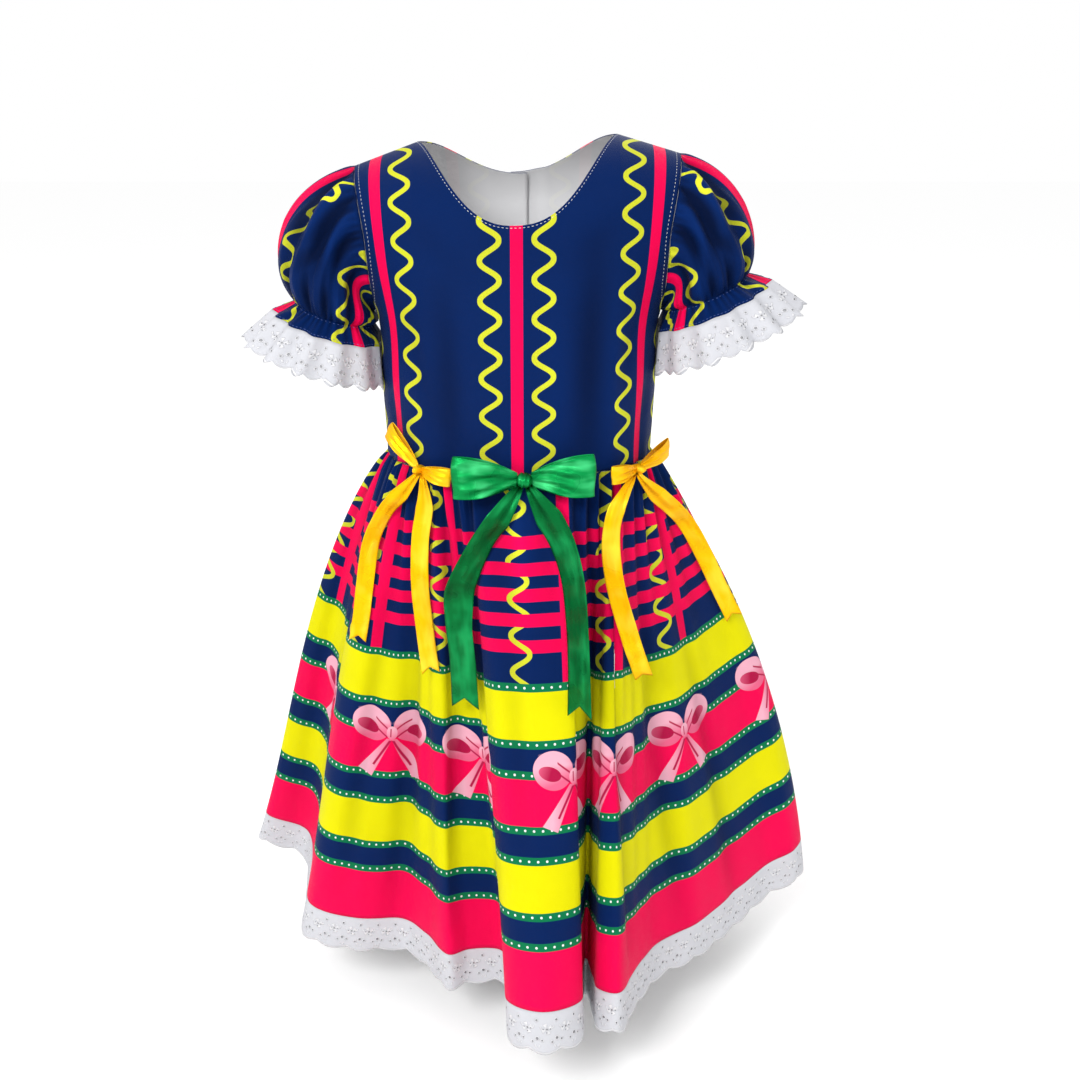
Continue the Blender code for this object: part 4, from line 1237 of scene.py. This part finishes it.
# Creases: name, start and end by turn and share of the puff, width, height
PUFF_CREASES = (
    ("head fold", 0.30, 0.02, 0.75, 0.50, 0.13, -0.0085),
    ("head ridge", 0.55, 0.02, 1.05, 0.42, 0.10, 0.0045),
    ("second fold", 0.85, 0.02, 1.30, 0.46, 0.12, -0.0085),
    ("second ridge", 1.15, 0.02, 1.50, 0.36, 0.09, 0.0040),
    ("third fold", 1.45, 0.02, 1.70, 0.40, 0.11, -0.0070),
    ("middle hollow", 1.05, 0.45, 1.15, 0.60, 0.20, -0.0040),
    ("inner tuck", 2.10, 0.06, 2.05, 0.98, 0.12, -0.0070),
    ("cuff fold", 0.70, 0.66, 0.60, 1.00, 0.09, -0.0055),
    ("cuff ridge", 0.90, 0.60, 0.84, 1.00, 0.07, 0.0030),
    ("cuff fold", 1.15, 0.68, 1.12, 1.00, 0.08, -0.0050),
    ("cuff fold", 1.55, 0.60, 1.50, 1.00, 0.09, -0.0055),
    ("cuff ridge", 1.80, 0.62, 1.76, 1.00, 0.07, 0.0030),
    ("outer fold", 0.05, 0.50, 0.10, 1.00, 0.11, -0.0050),
    ("top fold", -0.15, 0.02, -0.10, 0.40, 0.10, -0.0060),
    ("top fold", -0.55, 0.02, -0.45, 0.42, 0.10, -0.0060),
    ("back fold", -0.95, 0.02, -0.80, 0.45, 0.11, -0.0070),
    ("back ridge", -1.20, 0.05, -1.15, 0.40, 0.08, 0.0036),
    ("back fold", -1.60, 0.02, -1.55, 0.42, 0.11, -0.0070),
    ("back cuff fold", -0.80, 0.65, -0.85, 1.00, 0.09, -0.0050),
    ("back cuff fold", -1.65, 0.62, -1.60, 1.00, 0.09, -0.0050),
    ("back tuck", -2.20, 0.10, -2.20, 0.95, 0.11, -0.0060),
)


def puff_points(size, turn, t):
    """Points of the puff, from the armhole at t 0 to the elastic at t 1."""
    sign = size["sign"]
    _, outer, down = sleeve_frame(size)
    loop, rim = armhole_loop(sign)
    shares = np.linspace(0, 1, len(loop))
    place = (turn / (2 * math.pi)) % 1.0
    edge = table_at(loop, shares, place)
    away = unit(table_at(rim, shares, place))
    top = ((1 + np.cos(turn)) / 2)[:, None]
    fullness = PUFF_UNDERARM + (1 - PUFF_UNDERARM) * top ** PUFF_ROUND
    radial = outer * np.cos(turn)[:, None] + FORWARD * np.sin(turn)[:, None]
    start = edge + away * ARMHOLE_SEAM
    end = cuff_points(size, turn, np.zeros_like(turn))
    leave = unit((away + radial) * PUFF_TURN_OUT + (sign, 0, 0) + down * PUFF_DROOP * top)
    arrive = unit(radial * PUFF_ARRIVE[0] - down * PUFF_ARRIVE[1])
    first = start + leave * size["rise"] * fullness
    second = end + arrive * size["back"] * fullness
    t = t[:, None, None]
    points = (1 - t) ** 3 * start + 3 * t * (1 - t) ** 2 * first
    points = points + 3 * t * t * (1 - t) * second + t ** 3 * end
    depth = 0.8 * SLEEVE_GATHER * (GATHER_UNDERARM + (1 - GATHER_UNDERARM) * top)
    wave = (depth * np.sqrt(np.sin(math.pi * t)))[..., 0] * np.sin(SLEEVE_WAVES * turn)
    around = ((turn + math.pi) % (2 * math.pi)) - math.pi
    around, share = np.broadcast_arrays(around, t[..., 0])
    creases = crease_field(around, share, PUFF_CREASES)
    ends = np.exp(-(share / HEAD_FADE) ** 2) + np.exp(-((1 - share) / ELASTIC_FADE) ** 2)
    small = SMALL_GATHER * np.sin(47 * turn + 2.2 * np.sin(4 * turn) + 1.3 * np.sin(9 * turn)) * ends
    small = small * fade_ends(share, 0.03)
    swing = wave + (creases * fade_ends(share, 0.06) + small) * (0.25 + 0.75 * top[..., 0])
    points = clear_of_torso(points + unit(radial) * swing[..., None], sign, SLEEVE_CLEAR)
    # The heights of the creases and small gathers are also returned for the painted shade of the folds
    return points, creases + small * GATHER_SHADE


def make_sleeves(materials, lace):
    for side, size in SLEEVES.items():
        turn = 2 * math.pi * np.arange(SLEEVE_COLUMNS) / SLEEVE_COLUMNS - math.pi
        puff, folds = puff_points(size, turn, np.linspace(0, 1, PUFF_ROWS))
        travels = np.linspace(0, FRILL - SEAM, FRILL_ROWS)[1:]
        frill = np.stack([cuff_points(size, turn, np.full_like(turn, travel)) for travel in travels])
        net = np.concatenate((puff, frill))
        # The pleats of the frill get painted shade as well
        folds = np.concatenate((folds, PLEAT_SHADE * pleats(turn, travels[:, None])))
        ring = np.concatenate((net, net[:, :1]), axis=1)
        chords = np.linalg.norm(np.diff(ring, axis=1), axis=2)[GIRTH_ROWS].mean(axis=0)
        around = np.concatenate(([0.0], np.cumsum(chords)))
        first = around[int(SLEEVE_COLUMNS * (0.5 + SLEEVE_STRIPE_TURN / 360))]
        falls = np.linalg.norm(np.diff(ring, axis=0), axis=2)
        down = np.concatenate((np.zeros((1, SLEEVE_COLUMNS + 1)), np.cumsum(falls, axis=0)))
        # The edge at the cuff is cut straight, and the head is curved
        elastic = down[PUFF_ROWS - 1]
        uv = pair(around[None, :] - first, down - elastic + elastic.max())
        centre, _, below = sleeve_frame(size)
        inside = puff.mean(axis=(0, 1))
        # The folds are painted into the colour as shade in troughs and light on ridges
        piece = net_object(f"sleeve_{side}_cloth", net, uv, materials, inside, True, CLOTH,
                           folds=folds * SLEEVE_SHADE)
        dress(piece, [f"sleeve_{side}"])

        share = np.linspace(0, 1, LACE_ROWS)
        edge = SLEEVE_LACE - SCALLOP * (1 - np.abs(np.sin(SLEEVE_WAVES * turn + math.pi / 4)))
        net = np.stack([cuff_points(size, turn, FRILL + part * edge) for part in share])
        around = CUFF_LENGTH * np.arange(SLEEVE_COLUMNS + 1) / SLEEVE_COLUMNS
        uv = pair(around, share[:, None] * np.append(edge, edge[0]))
        inside = centre + below * (FRILL + SLEEVE_LACE / 2)
        piece = net_object(f"sleeve_lace_{side}_cloth", net, uv, lace, inside, True, LACE)
        dress(piece, [f"sleeve_lace_{side}"])


# Skirt

def hem_lines():
    front = [row[1:] for row in HEM_FRONT]
    back = [row[1:] for row in HEM_BACK]
    steps = 24
    ring = smooth_line(front + back, closed=True, steps=steps)
    split = (len(front) - 1) * steps
    return {False: ring[:split + 1], True: np.concatenate((ring[split:], ring[:1]))}


HEM_LINES = hem_lines()


def waist_share(share, back):
    """Where a share of the panel's cloth stands on the waist: the middle gore lies flat there."""
    if back:
        return share
    place = (share - GORE[0]) / (GORE[1] - GORE[0])
    step = 0.5 + (np.hypot(place, GORE_BLEND) - np.hypot(place - 1, GORE_BLEND)) / 2
    return (share + GORE_FLAT * step) / (1 + GORE_FLAT)


def gathers(share, back, down):
    """Height of the gathers below the waist, uneven and with small ones between at the seam."""
    deep = GATHER_DEPTH * np.minimum(1.0, GATHER_AT_WAIST + down / GATHER_GROW)
    deep = deep * np.exp(-(down / GATHER_FADE) ** 2)
    phase = GATHERS[back] * share
    uneven = 1 + 0.35 * np.sin(7.3 * phase) * np.sin(2.1 * phase + 1)
    small = SMALL_GATHER * np.sin(4 * math.pi * phase * 1.21 + 2 * np.sin(3 * phase))
    small = small * np.exp(-(down / SMALL_FADE) ** 2) * np.minimum(1.0, 0.2 + down / SMALL_GROW)
    return deep * uneven * np.sin(2 * math.pi * phase) + small * fade_ends(share, SIDE_FADE)


def skirt_points(share, back, down):
    """Outer points for arrays of the panel's share and the cloth below the waist."""
    share, down = np.broadcast_arrays(share, down)
    angle = math.pi * (waist_share(share, back) - 0.5) + (math.pi if back else 0.0)
    facing = np.stack((np.sin(angle), -np.cos(angle)), axis=-1)
    waist = facing * (WAIST_HALF, WAIST_REAR if back else WAIST_FRONT)
    spread = along(HEM_LINES[back], share.ravel()).reshape(facing.shape) - waist
    # Each side swells out below the waist in its own way, and the front hardly does
    sideways = np.sin(angle) ** 2
    swell, side_fade = (np.where(np.sin(angle) > 0, *sides) for sides in zip(LEFT_BELL, RIGHT_BELL))
    bell = FRONT_BELL + (swell - FRONT_BELL) * sideways
    fade = FRONT_FADE + (side_fade - FRONT_FADE) * sideways
    # The height is what the slope leaves of the cloth's length, summed down the panel
    end = np.minimum(down / SKIRT_LENGTH, 1.0)
    t = end[..., None] * np.arange(SLOPE_STEPS + 1) / SLOPE_STEPS
    bell_t, fade_t = bell[..., None], fade[..., None]
    slope = 1 + bell_t * (1 - t) ** fade_t
    slope = slope - bell_t * fade_t * t * np.maximum(1 - t, 1e-9) ** (fade_t - 1)
    lean = np.linalg.norm(spread, axis=-1)[..., None] / SKIRT_LENGTH * slope
    upright = np.sqrt(1 - lean ** 2)
    height = (upright[..., 1:] + upright[..., :-1]).sum(axis=-1) / 2
    height = height * end / SLOPE_STEPS * SKIRT_LENGTH
    plan = waist + spread * (end + bell * end * (1 - end) ** fade)[..., None]
    plan = plan + facing * gathers(share, back, down)[..., None]
    return np.concatenate((plan, (WAIST_Z - SEAM - height)[..., None]), axis=-1)


# Creases: name, start and end across and down the cloth, width, height
SKIRT_FRONT_CREASES = (
    ("left edge of the middle gore", 0.447, 0.10, 0.445, 0.46, 0.009, -0.0060),
    ("right edge of the middle gore", 0.575, 0.06, 0.585, 0.46, 0.008, -0.0070),
    ("soft fold of the left gore", 0.700, 0.06, 0.745, 0.40, 0.012, -0.0050),
    ("second soft fold", 0.800, 0.10, 0.840, 0.42, 0.013, -0.0050),
    ("side fold", 0.890, 0.14, 0.915, 0.44, 0.012, -0.0050),
    ("middle gore dimple", 0.505, 0.05, 0.512, 0.30, 0.010, -0.0030),
    ("right front fold", 0.385, 0.05, 0.360, 0.40, 0.011, -0.0050),
    ("right gore fold", 0.300, 0.06, 0.270, 0.42, 0.013, -0.0050),
    ("right gore crease", 0.235, 0.12, 0.215, 0.40, 0.012, -0.0040),
    ("right side fold", 0.130, 0.10, 0.110, 0.42, 0.013, -0.0050),
)
SKIRT_BACK_CREASES = (
    ("fold", 0.080, 0.08, 0.070, 0.42, 0.012, -0.0050),
    ("fold", 0.190, 0.05, 0.200, 0.38, 0.012, -0.0045),
    ("fold", 0.300, 0.10, 0.290, 0.42, 0.013, -0.0050),
    ("fold", 0.430, 0.06, 0.440, 0.40, 0.011, -0.0050),
    ("fold", 0.540, 0.05, 0.530, 0.36, 0.012, -0.0045),
    ("fold", 0.660, 0.08, 0.680, 0.42, 0.013, -0.0050),
    ("fold", 0.780, 0.06, 0.800, 0.40, 0.012, -0.0050),
)


def skirt_creases(back, share, down):
    creases = SKIRT_BACK_CREASES if back else SKIRT_FRONT_CREASES
    return crease_field(*np.broadcast_arrays(share * PANEL_WIDTH[back], down), creases)


def skirt_net(back, share, down):
    net = skirt_points(share, back, down)
    outward = net_normals(net)
    outward *= np.sign(np.sum(outward * (net - SKIRT_MIDDLE)))
    drift = DRIFT * np.sin(share * PANEL_WIDTH[back] * 160 + 3 * np.sin(share * 17))
    relief = skirt_creases(back, share, down) + drift * np.sin(math.pi * down / SKIRT_LENGTH)
    return net + outward * (relief * fade_ends(share, SIDE_FADE))[..., None]


def shown_share(back, share, down):
    """Share of each stretch of cloth that the form shows, where the rest is in the gathers."""
    form = skirt_points(share, back, down)
    chords = np.linalg.norm(np.diff(form, axis=1), axis=2)
    chords = np.concatenate((chords, chords[:, -1:]), axis=1)
    chords = chords / (PANEL_WIDTH[back] * (share[0, 1] - share[0, 0]))
    window = np.ones(SHOWN_WINDOW) / SHOWN_WINDOW
    beside = SHOWN_WINDOW // 2
    padded = np.pad(chords, ((0, 0), (beside, beside)), mode="edge")
    shown = np.stack([np.convolve(row, window, mode="valid") for row in padded])
    return np.minimum(shown, 1.0)


def panel_shares(columns):
    return np.linspace(SIDE_GAP, 1 - SIDE_GAP, columns + 1)[None, :]


def make_skirt(materials, laces):
    for name, back in PANELS:
        width = PANEL_WIDTH[back]
        share = panel_shares(SKIRT_COLUMNS[back])
        down = SKIRT_CLOTH * (np.linspace(0, 1, SKIRT_ROWS[back] + 1) ** 1.15)[:, None]
        # Painted shade in the troughs of the creases and gathers, and painted light on their ridges
        folds = SKIRT_SHADE * skirt_creases(back, share, down)
        folds = folds + GATHER_SHADE * gathers(share, back, down)
        piece = net_object(f"skirt_{name}_cloth", skirt_net(back, share, down),
                           pair(share * width, down), materials, SKIRT_MIDDLE, thickness=CLOTH,
                           shown=shown_share(back, share, down), folds=folds)
        dress(piece, [f"skirt_{name}"])
        share = panel_shares(10 * SCALLOPS[back])
        edge = SKIRT_LACE - SCALLOP * (1 - np.abs(np.sin(math.pi * SCALLOPS[back] * share)))
        below = SEAM + np.linspace(0, 1, LACE_ROWS)[:, None] * (edge - SEAM)
        piece = net_object(f"skirt_lace_{name}_cloth", skirt_net(back, share, SKIRT_CLOTH + below),
                           pair(share * width, below), laces[back], SKIRT_MIDDLE, False, LACE)
        dress(piece, [f"skirt_lace_{name}"])


# Bows

def cover_points():
    """Outer points of the front of the dress, which the bows lie on."""
    share = np.linspace(0, 1, 667)[None, :]
    down = 0.24 * (np.linspace(0, 1, 50) ** 1.5)[:, None]
    skirt = skirt_net(False, share, down).reshape(-1, 3)
    drops = np.linspace(drop_for(0.20), drop_for(-WAIST_Z), 12)
    angle, drop = np.meshgrid(np.linspace(-1.5, 1.5, 91), drops)
    return np.concatenate((skirt, bodice_point(angle, drop, False).reshape(-1, 3)))


def bow_frame(bow, cover):
    """Middle of the knot and its sideways and outward directions."""
    angle = math.asin(bow["x"] / WAIST_HALF)
    facing = unit(np.array((math.sin(angle) / WAIST_HALF, -math.cos(angle) / WAIST_FRONT, 0.0)))
    sideways = np.array((-facing[1], facing[0], 0.0))
    waist = np.array((bow["x"], -WAIST_FRONT * math.cos(angle), bow["z"]))
    wide, deep, high = np.array(bow["knot"]) / 2
    away = cover - waist
    inside = 1 - (away @ sideways / wide) ** 2 - (away[:, 2] / high) ** 2
    near = inside > 0
    out = (away[near] @ facing + deep * np.sqrt(inside[near])).max() + SEAM
    return waist + facing * out, sideways, facing


def make_knot(name, bow, place, material):
    """A short wrapped band with pinched folds."""
    centre, sideways, facing = place
    wide, deep, high = np.array(bow["knot"]) / 2
    turns = np.linspace(0, 2 * math.pi, 49)[:-1]
    levels = np.linspace(-1, 1, 25)
    turn, level = np.meshgrid(turns, levels)
    size = np.sqrt(np.maximum(1 - np.abs(level) ** 2.6, 0.02))
    size = size * (1 + 0.05 * np.sin(turn * 2 + level * 9) + 0.04 * np.sin(level * 14))
    out = (deep * np.sin(turn) * size)[..., None]
    net = centre + (sideways * wide) * level[..., None] + facing * out
    net = net + UPRIGHT * (high * np.cos(turn) * size)[..., None]
    uv = pair(np.linspace(0, 2 * math.pi, 49) * high, (levels * wide)[:, None])
    piece = net_object(name + "_satin", net, uv, [material], centre, True)
    fill_ends(piece, len(turns), len(levels))
    dress(piece, [name])


def fill_ends(piece, columns, rows):
    """Close a tube's open ends with one face each."""
    shape = bmesh.new()
    shape.from_mesh(piece.data)
    shape.verts.ensure_lookup_table()
    for ring in (range(columns - 1, -1, -1), range(columns * (rows - 1), columns * rows)):
        shape.faces.new([shape.verts[i] for i in ring])
    bmesh.ops.recalc_face_normals(shape, faces=shape.faces[:])
    shape.to_mesh(piece.data)
    shape.free()


def make_loop(name, bow, place, settings, material):
    """A band of ribbon that leaves the knot, turns round and comes back behind itself."""
    side, lift, length, lean = settings
    centre, tangent, facing = place
    sideways = tangent * side
    lift = math.radians(lift)
    away = sideways * math.cos(lift) + UPRIGHT * math.sin(lift)
    across = UPRIGHT * math.cos(lift) - sideways * math.sin(lift)
    wide, _, high = bow["knot"]
    start = 1 / math.hypot(2 * math.cos(lift) / wide, 2 * math.sin(lift) / high) - 0.0006
    turns = np.linspace(0, 2 * math.pi, 97)[:-1]
    levels = np.linspace(-1, 1, 41)
    turn, level = np.meshgrid(turns, levels)
    reach = (1 - np.cos(turn)) / 2
    open_out = 1 - (1 - reach) ** 2
    width = bow["pinch"] + (bow["ribbon"] - bow["pinch"]) * open_out
    puff = np.where(np.sin(turn) > 0, bow["puff"] * open_out, 0.0)
    off = (LOOP_GAP + puff) * np.sin(turn) + lean * reach * reach
    # Creases fan out of the knot and fade towards the loop's end
    scale = bow["ribbon"] / WIDE_RIBBON
    fan = LOOP_FAN * np.sin(level * 7.0 + 1.2 * side) * (1 - reach) ** 1.5
    belly = LOOP_BELLY * (1 - level ** 2) * open_out * (1 - 0.5 * reach) * scale
    crinkle = LOOP_CRINKLE * np.sin(level * 9 + reach * 8) * np.sin(reach * math.pi) * scale
    off = off + (fan + belly + crinkle) * np.maximum(np.sin(turn), 0)
    run = start + (length - start) * reach * (1 + 0.03 * np.sin(level * 2.2 + 0.6))
    net = centre + away * run[..., None] + facing * off[..., None]
    net = net + across * (level * width / 2)[..., None]
    uv = pair(np.linspace(0, 2 * length, 97), (levels * bow["ribbon"] / 2)[:, None])
    inside = centre + away * (start + length) / 2
    piece = net_object(name + "_satin", net, uv, [material], inside, True, RIBBON)
    dress(piece, [name])
    flat = (2 * length, bow["ribbon"])
    0.75 * flat[0] * flat[1]


def make_tail(name, bow, place, rows, cover, material):
    """A ribbon end that leaves the knot, hangs over the skirt and is cut to a notch."""
    centre, sideways, facing = place
    half = bow["tail_width"] / 2
    wide, deep, high = np.array(bow["knot"]) / 2
    side = math.copysign(1.0, rows[0][0] - centre[0])
    under = high * math.sqrt(1 - TAIL_SET_BACK ** 2) + SEAM
    start = centre + sideways * side * TAIL_APART * wide - facing * deep * TAIL_SET_BACK
    table = ((start[0], start[2] - under + 0.0015, 0.0),) + rows
    line = along(smooth_line(table, closed=False), np.linspace(0, 1, 61), axes=2)
    depth = []
    for x, z, _ in line:
        near = (abs(cover[:, 0] - x) < half + 0.002) & (abs(cover[:, 2] - z) < 0.006)
        depth.append(cover[near, 1].min())
    depth = np.array(depth) - TAIL_STAND_OFF - half * np.abs(np.sin(np.radians(line[:, 2])))
    depth[0] = start[1]
    for _ in range(12):
        depth[1:-1] = np.minimum(depth[1:-1], (depth[:-2] + depth[2:]) / 2)
    places = np.stack((line[:, 0], depth, line[:, 1], line[:, 2]), axis=-1)
    shares = np.linspace(0, 1, len(places))
    length = float(travelled(places[:, :3])[-1])

    levels = np.linspace(-1, 1, 15)
    notch = TAIL_NOTCH * bow["tail_width"] / length
    t = np.linspace(0, 1, 73)[:, None] * (1 - notch * (1 - np.abs(levels)))[None, :]
    here = table_at(places, shares, t)
    after, before = (table_at(places[:, :3], shares, np.clip(t + step, 0, 1))
                     for step in (0.03, -0.03))
    run = unit(after - before)
    flat = unit(np.cross(run, (0.0, -1.0, 0.0)))
    proud = np.cross(flat, run)
    turn = np.radians(here[..., 3:])
    across = flat * np.cos(turn) + proud * np.sin(turn)
    normal = proud * np.cos(turn) - flat * np.sin(turn)
    width = half * np.minimum(1.0, TAIL_ROOT + t / TAIL_SPREAD)
    level = np.broadcast_to(levels, t.shape)
    # Folds run out of the knot, and the ribbon bows a little across its width
    folds = TAIL_FOLD * np.cos(level * 5.0 * side + 0.8) * np.exp(-(t / TAIL_FOLD_FADE) ** 2)
    folds = folds * (half / WIDE_TAIL)
    roll = TAIL_ROLL * (1 - level ** 2) * np.sin(t * 9 + side)
    net = here[..., :3] + across * (level * width)[..., None] + normal * (folds + roll)[..., None]
    behind = places[30, :3] + (0.0, 0.1, 0.0)
    uv = pair(t * length, level * half)
    piece = net_object(name + "_satin", net, uv, [material], behind, False, RIBBON)
    dress(piece, [name])
    flat = (length, bow["tail_width"])
    0.86 * flat[0] * flat[1]


def make_bows(satins):
    cover = cover_points()
    for name, bow in BOWS.items():
        place = bow_frame(bow, cover)
        satin = satins[bow["surface"]]
        # The green tails take the darker copy of the satin, with more painted shade
        hanging = satins["green_tails_shaded"] if bow["surface"] == "green_satin" else satin
        make_knot(f"{name}_knot", bow, place, satin)
        for side, settings in bow["loops"].items():
            make_loop(f"{name}_loop_{side}", bow, place, settings, satin)
        for side, rows in bow["tails"].items():
            make_tail(f"{name}_tail_{side}", bow, place, rows, cover, hanging)


# Sewing and buttons

def stitches(name, line, normals, material, length=STITCH, gap=STITCH_GAP, radius=THREAD_RADIUS):
    """A row of stitches, each a short rounded thread that dips into the cloth at its ends."""
    travel = travelled(line)
    table = np.concatenate((line, normals), axis=1)
    vertices, faces = [], []
    start = gap
    while start + length < travel[-1]:
        base = len(vertices)
        rows = table_at(table, travel, np.linspace(start, start + length, 5))
        run = unit(rows[-1, :3] - rows[0, :3])
        for k, row in enumerate(rows):
            out = unit(row[3:])
            across = unit(np.cross(out, run))
            arch = math.sin(math.pi * k / 4)
            middle = row[:3] + out * (arch * radius * 1.2 - 0.0001)
            thick = radius * (0.35 + 0.65 * arch)
            for turn in np.arange(6) * math.pi / 3:
                vertices.append(middle + thick * (out * math.sin(turn) + across * math.cos(turn)))
        for k in range(4):
            for c in range(6):
                a, b = base + 6 * k + c, base + 6 * k + (c + 1) % 6
                faces.append((a, b, b + 6, a + 6))
        faces.append(tuple(base + c for c in range(5, -1, -1)))
        faces.append(tuple(base + 24 + c for c in range(6)))
        start += length + gap
    mesh = bpy.data.meshes.new(name)
    mesh.from_pydata([tuple(p) for p in vertices], [], faces)
    mesh.uv_layers.new(name="cut")
    mesh.materials.append(material)
    mesh.shade_smooth()
    return dress(new_object(name, mesh), [])


def stitch_neck(name, back, thread):
    x = NECK_HALF_WIDTH * np.sin(np.linspace(-1, 1, 161) * math.pi / 2)
    drop = neck_edge(x, back) + NECK_INSET
    angle = angle_at(x * (1 + NECK_INSET / NECK_HALF_WIDTH), drop)
    line, normals = bodice_surface(angle, drop, back)
    if back:
        own = line[:, :1] > -BACK_LAP / 2
        line = line + normals * lap_lift(line[:, :1]) * own
    stitches(f"topstitch_neck_{name}", line, normals, thread)


def stitch_armhole(name, back, sign, thread):
    pairs, _ = armhole_edge(back, sign)
    drop = np.maximum(pairs[:, 1], 0.002)
    half = torso(shoulder_height(0.12 * sign) - fall(drop))[0]
    angle = pairs[:, 0]
    angle = angle - sign * ARMHOLE_INSET / (half * np.maximum(np.cos(angle), 0.35))
    stitches(f"topstitch_armhole_{name}", *bodice_surface(angle, drop, back), thread)


def make_sewing(white, navy):
    """Topstitching along the neck, the armholes and the elastic of the sleeves."""
    for name, back in PANELS:
        stitch_neck(name, back, white)
    turn = np.linspace(0, 2 * math.pi, 241)
    for side, size in SLEEVES.items():
        for name, back in PANELS:
            stitch_armhole(f"{side}_{name}", back, size["sign"], white)
        centre, _, below = sleeve_frame(size)
        for name, travel, raised, proud, length, gap in CUFF_STITCHES:
            line = cuff_points(size, turn, np.full_like(turn, travel))
            normals = unit(line - centre)
            line = line - below * raised + normals * proud
            stitches(name.format(side), line, normals, navy, length, gap)


def make_buttons(material, thread):
    """Round buttons with a raised rim and a dished face, sewn on with crossed threads that dip in at
    four points.
    """
    profile = smooth_line([(*row, 0.0) for row in BUTTON_PROFILE], closed=False, steps=5)
    turns = (2 * math.pi * np.arange(48) / 48)[:, None]
    for number, height in enumerate(BUTTON_HEIGHTS, start=1):
        drop = float(drop_for(-height))
        low, high = (bodice_point(np.array(0.0), np.array(drop + way * BUTTON_RADIUS), True)
                     for way in (1, -1))
        facing = unit(np.cross(high - low, (1.0, 0.0, 0.0)))
        facing = facing * math.copysign(1, facing[1])
        middle = (low + high) / 2 + facing * (LAP_LIFT + 2 * SEAM)
        upright = unit(high - low)
        across = np.cross(upright, facing)
        ring = across * np.cos(turns) + upright * np.sin(turns)
        net = np.array([middle + ring * max(reach, 0.002) * BUTTON_RADIUS + facing * rise * BUTTON_HEIGHT
                        for reach, rise, _ in profile])
        piece = net_object(f"back_button_{number}_face", net, np.zeros((len(net), 49, 2)), [material],
                           middle + facing * BUTTON_HEIGHT / 2, True)
        dress(piece, [f"back_button_{number}"])
        face = middle + facing * BUTTON_HEIGHT * BUTTON_FACE
        for step, (dx, dy) in enumerate(((-1, -1), (1, -1)), start=1):
            arm = (across * dx + upright * dy) * BUTTON_RADIUS * BUTTON_HOLE
            line = face + arm * np.linspace(1, -1, 9)[:, None]
            stitches(f"back_button_{number}_thread_{step}", line, np.tile(facing, (9, 1)), thread,
                     float(np.linalg.norm(arm)) * 1.8, 0.00005, BUTTON_THREAD)


# Stage

def make_floor():
    level = float(CAD_BOX[0][2]) - FLOOR_GAP
    mesh = bpy.data.meshes.new("floor")
    corners = ((-1, -1), (1, -1), (1, 1), (-1, 1))
    corners = [(x * FLOOR_REACH, y * FLOOR_REACH, level) for x, y in corners]
    mesh.from_pydata(corners, [], [(0, 1, 2, 3)])
    pale = bpy.data.materials.new("floor_pale")
    pale.use_nodes = True
    set_inputs(pale.node_tree, pale.node_tree.nodes["Principled BSDF"], {
        "Base Color": (0.985, 0.985, 0.985),
        "Roughness": 1.0,
        "Specular IOR Level": 0.0,
    })
    mesh.materials.append(pale)
    new_object("floor", mesh)


def make_stage():
    scene = bpy.context.scene
    scene.view_settings.view_transform = "Standard"
    world = bpy.data.worlds.new("studio")
    world.use_nodes = True
    background = world.node_tree.nodes["Background"]
    set_inputs(world.node_tree, background, {"Color": (1.0, 1.0, 1.0), "Strength": 1.0})
    scene.world = world
    make_floor()
    for name, place, size, power in LIGHTS:
        light = bpy.data.lights.new(name, "AREA")
        light.size = size
        light.energy = power
        lamp = new_object(name, light)
        lamp.location = place
        x, y, z = LIT_POINT - np.array(place)
        lamp.rotation_euler = (math.atan2(math.hypot(x, y), -z), 0.0, math.atan2(-x, y))
    view = bpy.data.cameras.new("camera")
    view.sensor_width = 36.0
    view.lens = LENS
    camera = new_object("camera", view)
    camera.location = CAMERA_PLACE
    camera.rotation_euler = (math.radians(90 - CAMERA_DOWN), 0.0, 0.0)
    scene.camera = camera


def main():
    make_stage()
    bodice = cloth_materials("print_bodice", draw_bodice)
    sleeve = cloth_materials("print_sleeve", draw_sleeve)
    skirt = cloth_materials("print_skirt", draw_skirt)
    laces = {back: lace_materials("lace_" + name, PANEL_WIDTH[back], SCALLOPS[back])
             for name, back in PANELS}
    sleeve_lace = lace_materials("lace_sleeve", CUFF_LENGTH, SLEEVE_WAVES)
    satins = {name: satin_material(*looks) for name, looks in SATINS.items()}
    white = thread_material("thread_white", (0.62, 0.62, 0.62))
    navy = thread_material("thread_blue", (0.06, 0.10, 0.30))
    button = grainy_material("button_white", (0.58, 0.58, 0.56), (0.66, 0.66, 0.64), 200.0,
                             {"Roughness": 0.25, "Coat Weight": 0.3})
    make_bodice(bodice)
    make_sleeves(sleeve, sleeve_lace)
    make_skirt(skirt, laces)
    make_bows(satins)
    make_sewing(white, navy)
    make_buttons(button, white)


main()
